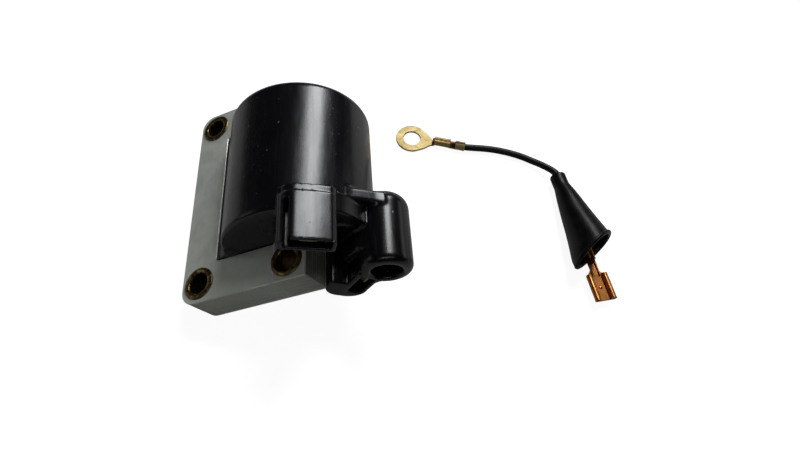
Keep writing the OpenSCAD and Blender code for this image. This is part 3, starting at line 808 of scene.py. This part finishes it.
def rectangle(a, b, a0, a1, b0, b1, r):
    """2D distance to a rectangle with corner radius r, a number or an array."""
    return rounded(between(a, a0, a1), between(b, b0, b1), r)


def tunnel(p):
    """2D distance to the hole that the limb passes through."""
    half_w, half_t = TUNNEL_W / 2, TUNNEL_T / 2
    return rectangle(p[:, 0], p[:, 2], AXIS_X - half_w, AXIS_X + half_w, -half_t, half_t, 0.3)


def polygon_prism(p, outline, y0, y1, edge):
    """Convex outline in X and Z, given counter-clockwise, drawn along Y."""
    inside = np.full(len(p), -1e9)
    for (x0, z0), (x1, z1) in zip(outline, outline[1:] + outline[:1]):
        size = math.hypot(x1 - x0, z1 - z0)
        side = ((p[:, 0] - x0) * (z1 - z0) - (p[:, 2] - z0) * (x1 - x0)) / size
        inside = np.maximum(inside, side)
    return rounded(inside, between(p[:, 1], y0, y1), edge)


SHOULDER_START, SHOULDER_END = 17.5, 21.8
SHOULDER_AT = (AXIS_X + 20, 9.1)
SHOULDER_TO = (
    HT_X + HT_R * math.cos(math.radians(63)), HT_Z + HT_R * math.sin(math.radians(63))
)
SHOULDER_OUTLINE = [(AXIS_X + 14, -8), (HT_X, HT_Z), SHOULDER_TO, SHOULDER_AT, (AXIS_X + 14, 8)]
# the web lies this far below the shoulder, in X and in Z
WEB_DROP = 3.5
WEB_OUTLINE = [
    (AXIS_X + 8, -8), (HT_X - 6, HT_Z - 6), (HT_X, HT_Z),
    (SHOULDER_TO[0] - WEB_DROP, SHOULDER_TO[1] - WEB_DROP),
    (SHOULDER_AT[0] - WEB_DROP, SHOULDER_AT[1] - WEB_DROP),
    (AXIS_X + 8, 8),
]
TIE_OUTLINE = [
    (HT_X, HT_Z), (HT_X - 2, HT_Z + 6.5), (HT_X - 6.5, HT_Z + 6),
    (AXIS_X + 12, -3), (AXIS_X + 12, -12), (HT_X - 3, HT_Z - 6),
]
PAD_R, PAD_END = 22.5, 18.3
# right-hand rounding of the flat top, and how much it is crowned per square millimetre
LT_RIGHT_R, LT_CROWN, LT_MIDDLE = 1.8, 0.011, -0.7


def moulded_body(p):
    """Signed distance to the black moulding, in the coil frame."""
    y = p[:, 1]
    barrel = cylinder(p, AXIS_X, 0, BODY_R, BODY_START, BODY_END, 0.8, 3.0)
    # filling of the core's window, sweeping up to the barrel on both faces
    neck_x = AXIS_X - (AXIS_X - FLARE_X) * BODY_R / (BODY_R + FLARE_R)
    neck_z = FLARE_Z * BODY_R / (BODY_R + FLARE_R)
    block = rectangle(p[:, 0], p[:, 2], WINDOW_X0, neck_x + 3, -neck_z, neck_z, 0.05)
    sweep = FLARE_R - length2(p[:, 0] - FLARE_X, np.abs(p[:, 2]) - FLARE_Z)
    fill = rounded(np.maximum(block, sweep), between(y, BODY_START, BODY_END), 0.5)
    solid = blend(barrel, fill, 0.8)
    # low-voltage tab socket, its step and its foot
    a, out = turned_to(p, LT_TURN)
    side_r = np.where(a < 0, LT_SIDE_R, LT_RIGHT_R)
    crown = LT_TOP - LT_CROWN * (a - LT_MIDDLE) ** 2
    corner_r = np.where(out > (LT_LOW + LT_TOP) / 2, side_r, 0.3)
    outline = rectangle(a, out, LT_LEFT, LT_RIGHT, LT_LOW, crown, corner_r)
    lt = rounded(outline, between(y, 0, LT_STEP_Y), 0.35)
    low_outline = rectangle(
        a, out, LT_LEFT, LT_RIGHT, LT_LOW - 4, crown - LT_STEP,
        np.where(out > (LT_LOW + LT_TOP) / 2, side_r, 0.3),
    )
    lt = np.minimum(lt, rounded(low_outline, between(y, BODY_START, LT_LEN), 0.3))
    # second socket and the block that ties it to the plug-lead socket
    b, low = turned_to(p, SECOND_TURN)
    b = -b
    second_r = np.where(b < SECOND_LEFT + SECOND_CORNER, SECOND_CORNER, 0.8)
    second = np.minimum(
        rectangle(b, low, 0, SECOND_RIGHT, SECOND_LOW, SECOND_HIGH, 0.8),
        rectangle(b, low, SECOND_LEFT, SECOND_FOOT[0], SECOND_FOOT[1], SECOND_HIGH, second_r),
    )
    second = rounded(second, between(y, 0, BODY_START + 1), 0.5)
    tie = polygon_prism(p, TIE_OUTLINE, 6, BODY_START + 1, 0.4)
    ht = cylinder(p, HT_X, HT_Z, HT_R, 0, HT_LEN, 2.2, 5.0)
    web = polygon_prism(p, WEB_OUTLINE, BODY_START, SHOULDER_START + 1, 0.5)
    shoulder = polygon_prism(p, SHOULDER_OUTLINE, SHOULDER_START, SHOULDER_END, 1.1)
    web = np.minimum(web, shoulder)
    # thin pad on the barrel between the two sockets
    pad = cylinder(p, AXIS_X, 0, PAD_R, BODY_START, PAD_END, 0.3, 0.3)
    pad = np.maximum(pad, np.maximum(-a, -p[:, 2]))
    sockets = blend(ht, np.minimum(web, blend(second, tie, 1.0)), 1.4)
    solid = np.minimum(solid, pad)
    solid = blend(solid, lt, 0.7)
    solid = blend(solid, sockets, 0.9)
    # hollows
    cavity = np.maximum(length2(p[:, 0] - AXIS_X, p[:, 2]) - CAVITY_R, CAVITY_START - y)
    solid = carve(solid, cavity, 0.3)
    solid = carve(solid, np.maximum(tunnel(p), y - CAVITY_START - 1), 0.3)
    lt_hole = rectangle(a, out, *LT_OPEN, 0.5)
    solid = carve(solid, np.maximum(lt_hole, y - LT_DEPTH), 0.6)
    from_ht = length2(p[:, 0] - HT_X, p[:, 2] - HT_Z)
    second_hole = rectangle(b, low, *SECOND_OPEN, 0.7)
    second_hole = np.maximum(second_hole, HT_BORE_R + SECOND_WALL - from_ht)
    solid = carve(solid, np.maximum(second_hole, y - SECOND_DEPTH), 0.6)
    seal = np.maximum(from_ht - HT_BORE_R, y - HT_SEAL_DEPTH)
    cable = np.maximum(from_ht - HT_CABLE_R, y - HT_DEPTH)
    return carve(solid, np.minimum(seal, cable), 1.1)


def potted_resin(p):
    """Signed distance to the resin: it climbs a little at the wall and round the limb."""
    r = length2(p[:, 0] - AXIS_X, p[:, 2])
    limb = tunnel(p)
    climb = 0.55 * np.exp(-np.abs(CAVITY_R - r) / 0.7) + 0.45 * np.exp(-np.abs(limb) / 0.7)
    swell = 0.12 * np.sin(p[:, 0] * 0.31 + 1.0) * np.cos(p[:, 2] * 0.27)
    top = p[:, 1] - (RESIN_END - 0.3 + climb + swell)
    block = np.maximum(np.maximum(r - CAVITY_R + 0.02, CAVITY_START + 0.05 - p[:, 1]), top)
    windings = np.maximum(r - WINDING_ROOM_R, p[:, 1] - WINDING_END - 0.6)
    return np.maximum(np.maximum(block, -windings), 0.04 - limb)


def skin(field, low, high, step):
    """Mesh of the surface where field is 0: surface nets, then pulled onto the surface."""
    axes = [np.arange(a, b + step, step) for a, b in zip(low, high)]
    grid = np.stack(np.meshgrid(*axes, indexing="ij"), -1)
    shape = grid.shape[:3]
    value = field(grid.reshape(-1, 3)).reshape(shape)
    inside = value < 0
    corners = [(i, j, k) for i in (0, 1) for j in (0, 1) for k in (0, 1)]
    cells = tuple(n - 1 for n in shape)

    def corner(array, c):
        return array[c[0]:c[0] + cells[0], c[1]:c[1] + cells[1], c[2]:c[2] + cells[2]]

    total = sum(corner(inside, c).astype(np.int8) for c in corners)
    active = (total > 0) & (total < 8)
    index = np.full(cells, -1)
    index[active] = np.arange(active.sum())
    at = {c: corner(value, c)[active] for c in corners}
    base = np.stack(np.nonzero(active), 1).astype(float)
    summed = np.zeros_like(base)
    hits = np.zeros(len(base))
    for c in corners:
        for axis in range(3):
            if c[axis] == 0:
                d = tuple(1 if i == axis else n for i, n in enumerate(c))
                a, b = at[c], at[d]
                cross = (a < 0) != (b < 0)
                t = np.where(cross, a / np.where(a == b, 1, a - b), 0)
                point = np.array(c, float)[None] + t[:, None] * np.eye(3)[axis]
                summed += np.where(cross[:, None], point, 0)
                hits += cross
    points = (base + summed / hits[:, None]) * step + np.array(low)
    quads = []
    for axis in range(3):
        one, two = (axis + 1) % 3, (axis + 2) % 3
        first = np.take(inside, range(shape[axis] - 1), axis)
        second = np.take(inside, range(1, shape[axis]), axis)
        edge = np.stack(np.nonzero(first != second), 1)
        keep = (edge[:, one] > 0) & (edge[:, two] > 0)
        keep &= (edge[:, one] < cells[one]) & (edge[:, two] < cells[two])
        edge = edge[keep]
        ring = []
        for da, db in ((0, 0), (1, 0), (1, 1), (0, 1)):
            cell = edge.copy()
            cell[:, one] -= da
            cell[:, two] -= db
            ring.append(index[tuple(cell.T)])
        ring = np.stack(ring, 1)
        outward = inside[tuple(edge.T)]
        quads.append(np.where(outward[:, None], ring, ring[:, ::-1]))
    nudge = 0.04
    for _ in range(5):
        slope = np.empty_like(points)
        for axis in range(3):
            aside = np.eye(3)[axis] * nudge
            slope[:, axis] = (field(points + aside) - field(points - aside)) / (2 * nudge)
        steepness = (slope ** 2).sum(1).clip(0.25)
        move = field(points)[:, None] * slope / steepness[:, None]
        points -= move.clip(-0.3 * step, 0.3 * step)
    return points, [tuple(q) for q in np.concatenate(quads).tolist()]


Shape().put(*skin(moulded_body, (10.8, -0.7, -22.9), (70.0, 57.9, 28.6), 0.47)).piece(
    "moulded_case", COIL, "coil", "black_moulding", ["body_shell"], sharp=65
)
Shape().put(*skin(potted_resin, (16.0, 13.4, -20.8), (57.6, 57.4, 20.8), 0.8)).piece(
    "resin_fill", COIL, "coil", "potting", ["potting_resin"], sharp=50
)

# ---- terminals of the coil ----


def tab_outline(width, length):
    """Flat tab with a chamfered tip at Y 0 and a locking hole."""
    half, cut = width / 2, 1.1
    outline = [(-half + cut, 0), (half - cut, 0), (half, cut)]
    outline += [(half, length), (-half, length), (-half, cut)]
    return [outline, arc(0, 3.6, 0.75, 0, 340, 18)]


TAB_TIP = 0.8


def add_tab(name, node, turn, p, q, width, root):
    matrix = socket_frame(turn, p, q, 0)
    points, faces = plate(tab_outline(width, root - TAB_TIP), TAB_T, 0.1)
    # the plate's own Y runs along the coil and its thickness outwards
    turned = np.stack([points[:, 0], points[:, 2], -(points[:, 1] + TAB_TIP)], 1)
    Shape().put(turned, flip(faces)).piece(name, matrix, "coil", "tab_brass", [node])


add_tab("lt_blade", "low_voltage_tab", LT_TURN, LT_TAB_P, LT_TAB_Q, 6.3, CAVITY_START + 0.9)
add_tab("stop_blade", "second_tab", SECOND_TURN, -SECOND_TAB_P, SECOND_TAB_Q, 4.8, CAVITY_START + 1.2)


def add_contact():
    """Brass insert with a pointed wood-screw thread."""
    tip_z = HT_DEPTH - SPIKE_LEN
    pitch, depth, core_r = 1.1, 0.22, 0.95

    def thread(turn, z):
        if not tip_z + 0.4 < z < HT_DEPTH - 0.3:
            return 0
        taper = min(1.0, (z - tip_z) / 3)
        return depth * taper * np.cos(turn - 2 * math.pi * z / pitch)

    profile = [(0.02, tip_z)]
    for z in np.linspace(tip_z + 0.3, HT_DEPTH - 0.2, 60):
        profile.append((core_r * min(1.0, (z - tip_z) / 3) + 0.03, z))
    profile += [(1.5, HT_DEPTH - 0.05), (CONTACT_R - 0.2, HT_DEPTH), (CONTACT_R, HT_DEPTH + 0.2)]
    profile += [(CONTACT_R, CONTACT_END - 0.2), (CONTACT_R - 0.2, CONTACT_END)]
    points, faces = lathe(profile, 40, wobble=thread)
    matrix = make_frame(place([(HT_X, 0, HT_Z)], COIL)[0], STACK, ACROSS, ALONG)
    Shape().put(points, faces).piece(
        "contact_screw", matrix, "coil", "tab_brass", ["high_voltage_contact"], sharp=50
    )


add_contact()

# ---- lead ----

SHEET_MID = CRIMP_R - SHEET_T / 2
STRAND_ROOM = CRIMP_R - SHEET_T - 0.1
STRAND_TWIST = 0.28  # radians per mm


def folded_crimp():
    """Section of a crimp whose two wings curl into the middle: (up, side) points."""
    lobe, lobe_up = SHEET_MID / 2, 0.45
    half = [
        (lobe_up + lobe * math.sin(a), lobe - (lobe - 0.11) * math.cos(a))
        for a in np.radians(np.linspace(-35, 175, 15))
    ]
    half += [
        (lobe_up - (SHEET_MID + lobe_up) * math.sin(a), SHEET_MID * math.cos(a))
        for a in np.radians(np.linspace(6, 90, 11))
    ]
    mirrored = [(up, -side) for up, side in half[-2::-1]]
    return half + mirrored


def round_crimp(gap_degrees):
    """Section of a crimp that wraps round, open by a gap at the top."""
    angles = np.radians(np.linspace(gap_degrees, 360 - gap_degrees, 33))
    return [(SHEET_MID * math.cos(a), SHEET_MID * math.sin(a)) for a in angles]


def gutter(spread):
    """Section of the open channel between two crimps."""
    angles = np.radians(np.linspace(180 - spread, 180 + spread, 13))
    return [(SHEET_MID * math.cos(a), SHEET_MID * math.sin(a)) for a in angles]


def bell(s0, s1, flare=1.07):
    """Stations of a crimp with a slightly flared mouth at each end."""
    middle = ((s0 + s1) / 2, 0.985, 0)
    return [(s0, flare, 0), (s0 + 0.5, 1.0, 0), middle, (s1 - 0.5, 1.0, 0), (s1, flare, 0)]


def ring_axes(points):
    """(up, side, along) to the ring terminal's X, Y and Z."""
    return np.stack([points[:, 2], points[:, 1], points[:, 0] + LEAD_Z], 1)


def boot_axes(points):
    """(up, side, along) to the boot's axes, where X points down."""
    return np.stack([-points[:, 0], points[:, 1], points[:, 2]], 1)


def add_ring_terminal():
    """Ring that narrows to a tongue, and two crimps joined by channels."""
    side = [(CRIMP_X0 + 0.3, 1.05), (CRIMP_X0 - 1.2, 1.65), (5.2, 3.7)]
    outline = arc(0, 0, RING_R, 70, 290, 40)
    outline += [(x, -y) for x, y in side[::-1]] + side
    points, faces = plate([outline, arc(0, 0, RING_HOLE_R, 0, 354, 60)], RING_T, 0.13)
    points = points + (0, 0, RING_T / 2)
    # the ring is very slightly dished, as a stamping is
    radius = length2(points[:, 0], points[:, 1])
    points[:, 2] += 0.06 * np.clip((radius - RING_HOLE_R) / 3, 0, 1) * (points[:, 0] < 5)
    shape = Shape().put(points, faces)
    for path, stations in (
        (folded_crimp(), bell(CRIMP_X0, CRIMP_X1)),
        (round_crimp(9), bell(GRIP_X0, GRIP_X1, 1.05)),
        (gutter(62), [(CRIMP_X1 - 0.3, 1, 0), (GRIP_X0 + 0.3, 1, 0)]),
        (gutter(48), [(CRIMP_X0 - 1.6, 0.8, -0.15), (CRIMP_X0 - 0.6, 0.95, 0), (CRIMP_X0 + 0.3, 1, 0)]),
    ):
        points, faces = folded_strip(path, SHEET_T, stations)
        shape.put(ring_axes(points), faces)
    return shape.piece("ring_lug", RING, "lead", "ring_brass", ["ring_terminal"], sharp=45, bevel=0.05)


def bundle(z0, z1):
    """Nineteen thin strands with a slow twist, along Z: one, six and twelve."""
    strand_r = STRAND_ROOM / 5.2
    shape = Shape()
    for ring, count in ((0, 1), (2, 6), (4, 12)):
        for k in range(count):
            z = np.linspace(z0, z1 + random.uniform(-0.25, 0.1), 14)
            spread = 1 + 0.12 * np.clip((z - z1 + 0.8) / 0.8, 0, 1) * random.uniform(0, 1)
            turn = 2 * math.pi * k / count + STRAND_TWIST * (z - z0)
            off = strand_r * ring * 1.02 * spread
            path = np.stack([off * np.cos(turn), off * np.sin(turn), z], 1)
            shape.put(*tube(path, strand_r, 7))
    return np.concatenate(shape.points), shape.faces


def add_strands():
    shape = Shape()
    points, faces = bundle(0, GRIP_X0 - CRIMP_X0)
    # this bundle ends in front of the crimp, so it runs backwards from the insulation
    along = GRIP_X0 - 0.7 - points[:, 2]
    shape.put(place(np.stack([along, points[:, 0], points[:, 1] + LEAD_Z], 1), RING), flip(faces))
    points, faces = bundle(GRIP_S1 + 0.5, CRIMP_S1 + 0.9)
    shape.put(place(points, BOOT), faces)
    return shape.piece("copper_strands", np.eye(4), "lead", "strand_copper", ["lead_strands"], sharp=60)


def dome(radius, height):
    """Raised round dimple on a sheet, rising along -X of the boot frame."""
    profile = [(radius + 0.15, -0.05)]
    profile += [(radius * math.cos(a), height * math.sin(a)) for a in np.linspace(0.05, 1.5, 6)]
    points, faces = lathe(profile, 24)
    return np.stack([-points[:, 2], points[:, 1], points[:, 0]], 1), faces


def add_receptacle():
    """Box with two rolled rails for a flat tab, a neck, and two crimps."""
    mid = RAIL_R - SHEET_T / 2
    rail_y = BOX_W / 2 - RAIL_R
    # (up, side): a rolled rail, the floor and the other rail; the floor is at the bottom
    right = [
        (-mid * math.cos(a), rail_y + mid * math.sin(a)) for a in np.radians(np.linspace(0, 292, 26))
    ]
    floor = [(-mid, y) for y in np.linspace(-rail_y, rail_y, 9)[1:-1]]
    left = [(up, -side) for up, side in right[::-1]]
    box = [(BOX_S0, 0.97, 0), (BOX_S0 + 0.4, 1, 0), (BOX_S1 - 0.6, 1, 0), (BOX_S1, 1.03, 0)]
    neck = [(0.2, -1.18), (-0.35, -1.22), (-mid + 0.15, -1.15), (-mid, -0.92), (-mid, 0)]
    neck += [(up, -side) for up, side in neck[-2::-1]]
    neck_run = [(CRIMP_S1 - 0.4, 1.05, 0), (CRIMP_S1 + 1, 1, 0), (BOX_S0 - 1, 1, 0), (BOX_S0 + 0.5, 1, 0)]
    strips = [
        (left + floor + right, box),
        (folded_crimp(), bell(CRIMP_S0, CRIMP_S1)),
        (round_crimp(9), bell(GRIP_S0, GRIP_S1, 1.05)),
        (gutter(60), [(GRIP_S1 - 0.3, 1, 0), (CRIMP_S0 + 0.3, 1, 0)]),
        (neck, neck_run),
    ]
    shape = Shape()
    for path, stations in strips:
        points, faces = folded_strip(path, SHEET_T, stations)
        shape.put(boot_axes(points), flip(faces))
    # floor widens from the neck to the box
    widen = [(-1.1, 0), (1.1, 0), (rail_y, 1.7), (rail_y, 2.4), (-rail_y, 2.4), (-rail_y, 1.7)]
    points, faces = plate([widen], SHEET_T, 0.08)
    shape.put(np.stack([points[:, 2] + mid, points[:, 0], points[:, 1] + BOX_S0 - 2], 1), faces)
    points, faces = dome(0.62, 0.36)
    shape.put(points + (mid - SHEET_T / 2, 0, BOX_S0 + 4.6), faces)
    return shape.piece(
        "blade_receptacle", BOOT, "lead", "receptacle_copper", ["tab_receptacle"], bevel=0.05
    )


def add_boot():
    """Rubber cone: level neck, a rising flare, beaded mouth cut on a slant, hollow inside."""
    sides = 96
    turn = around(sides)
    lip = 0.75
    bore = WIRE_R + 0.08
    boot_height = BOOT[2, 3] / MM
    # the middle line bends up from the level neck
    line_step, bend_length = 0.1, 5
    line_s = np.linspace(0, 48, 481)
    bend = BOOT_RISE * eased(np.clip((line_s - BOOT_HINGE) / bend_length + 0.5, 0, 1))
    line_x = -np.cumsum(np.sin(bend)) * line_step
    line_z = np.cumsum(np.cos(bend)) * line_step - line_step

    def outer(s):
        t = np.clip((s - NECK_LEN) / (BOOT_LEN - NECK_LEN), 0, 1.02)
        flare = NECK_R + (MOUTH_R - 0.25 - NECK_R) * (t + 0.025 * np.sin(2 * math.pi * t))
        return NECK_R + (flare - NECK_R) * eased(np.clip((s - NECK_LEN + 2) / 3, 0, 1))

    mouth = np.full(sides, BOOT_LEN)
    for _ in range(6):
        mouth = BOOT_LEN - math.tan(MOUTH_SLANT) * np.sin(turn) * (outer(mouth) + 0.3)

    def row(s, r):
        s = s * np.ones(sides)
        sag = 0.10 * np.sin(2 * turn + s * 0.12) * np.clip((s - 8) / 14, 0, 1)
        dent = 0.16 * np.exp(-((s - 17) / 5) ** 2) * np.cos(turn - 2.4)
        radius = r - np.abs(sag) * 0.6 - dent.clip(0)
        angle = np.interp(s, line_s, bend)
        x = np.interp(s, line_s, line_x) + radius * np.cos(turn) * np.cos(angle)
        # the lip rests on the bench
        x = np.minimum(x, boot_height - BOOT_REST)
        z = np.interp(s, line_s, line_z) + radius * np.cos(turn) * np.sin(angle)
        return np.stack([x, radius * np.sin(turn), z], 1)

    def inner(s):
        """Inside of the wall, opened along the underside for the wire and its crimps."""
        drop = -np.interp(s, line_s, line_x)
        room = np.interp(s, [8, 11], [WIRE_R + 0.12, CRIMP_R + 0.3]) * np.ones(sides)
        across = room ** 2 - (drop * np.sin(turn)) ** 2
        channel = drop * np.cos(turn) + np.sqrt(across.clip(0))
        channel = np.where((across > 0) & ((drop < room) | (np.cos(turn) > 0)), channel, 0)
        return np.maximum(np.maximum(outer(s) - BOOT_WALL, bore), channel)

    rows = [row(0.0, NECK_R - 0.55), row(0.12, NECK_R - 0.2), row(0.5, NECK_R)]
    for f in np.linspace(0.03, 1, 34):
        s = 0.5 + f * (mouth - lip - 0.5)
        rows.append(row(s, outer(s)))
    edge = outer(mouth)
    # the bead stands out most at the upper right of the mouth
    bead = 0.08 + 0.36 * np.clip(0.5 + np.sin(turn) - 0.4 * np.cos(turn), 0, 1)
    for a in np.radians(np.linspace(-60, 150, 9)):
        rows.append(row(mouth - lip + lip * math.sin(a), edge - lip + bead + lip * math.cos(a)))
    for f in np.linspace(0.98, 0.06, 30):
        s = 1.0 + f * (mouth - lip - 1.0)
        rows.append(row(s, inner(s)))
    rows.append(row(0.0, bore))
    faces = ring_faces(len(rows), sides) + joining_faces(len(rows), sides)
    return Shape().put(np.concatenate(rows), faces).piece(
        "rubber_cone", BOOT, "boot", "boot_rubber", ["rubber_boot"], sharp=70
    )


ring_lug = add_ring_terminal()
strands = add_strands()
receptacle = add_receptacle()
boot = add_boot()

# ---- finishes of the CAD pieces that stay ----

KEPT = {
    "primary_bobbin": "bobbin_plastic", "secondary_bobbin": "bobbin_plastic",
    "primary_winding": "copper_wire", "secondary_winding": "copper_wire",
    "layer_insulation": "insulation_paper", "outer_tape": "polyester_tape",
    "tab_wire": "copper_wire", "second_tab_wire": "copper_wire",
    "high_voltage_wire": "copper_wire", "secondary_earth_wire": "copper_wire",
}
for node, finish in KEPT.items():
    kept = frame["nodes"][node]
    kept.data.materials.clear()
    kept.data.materials.append(FINISHES[finish])

# ---- bench and light ----


def add_floor():
    """Plain pale floor: white paper, just below the pieces and dimmer in their reflections."""
    mesh = bpy.data.meshes.new("floor")
    half, seen_glow, reflected_glow = 1.5, 0.92, 0.05
    corners = [(-half, -half, 0), (half, -half, 0), (half, half, 0), (-half, half, 0)]
    mesh.from_pydata(corners, [], [(0, 1, 2, 3)])
    floor = add_object("floor", mesh)
    paper = Finish("floor_paper", Metallic=0.0, Specular_IOR_Level=0.0)
    paper.shader.inputs["Emission Color"].default_value = (1, 1, 1, 1)
    seen = paper.add("ShaderNodeLightPath").outputs["Is Camera Ray"]
    glow = paper.ramp(seen, 0.0, 1.0, reflected_glow, seen_glow)
    paper.feed(paper.shader.inputs["Emission Strength"], glow)
    tone = paper.noise(40, 2, 0.5)
    mesh.materials.append(paper.done(paper.mix(tone, (0.42, 0.42, 0.42), (0.46, 0.46, 0.46)), 0.9))
    floor.location.z = -0.0002


def add_light(name, direction, distance, size, radiance, colour=(1, 1, 1)):
    """Rectangular soft box that faces the object. radiance is about 1 for paper white."""
    data = bpy.data.lights.new(name, "AREA")
    data.shape = "RECTANGLE"
    data.size, data.size_y = size
    data.energy = radiance * math.pi * size[0] * size[1]
    data.color = colour
    light = add_object(name, data)
    towards = Vector(direction).normalized()
    middle = Vector((0.02, 0, 0.02))
    light.location = middle + towards * distance
    light.rotation_euler = towards.to_track_quat("Z", "Y").to_euler()


add_floor()
add_light("key", (0.27, 0.61, 0.75), 0.60, (0.16, 0.42), 12.0, (0.97, 0.985, 1.0))
add_light("left_fill", (-1.0, 0.05, 0.30), 0.60, (0.40, 0.20), 0.45, (1.0, 0.99, 0.95))
add_light("right_fill", (1.0, 0.25, 0.22), 0.60, (0.40, 0.16), 0.7)
add_light("edge_strip", (0.05, -0.62, 0.80), 0.70, (0.50, 0.025), 7.0)
add_light("front_fill", (-0.35, -0.8, 0.9), 0.70, (0.30, 0.30), 0.2)

world = bpy.data.worlds.new("studio")
world.use_nodes = True
background = world.node_tree.nodes["Background"]
background.inputs["Color"].default_value = (0.5, 0.52, 0.55, 1)
background.inputs["Strength"].default_value = 0.03
bpy.context.scene.world = world
bpy.context.scene.view_settings.view_transform = "Standard"
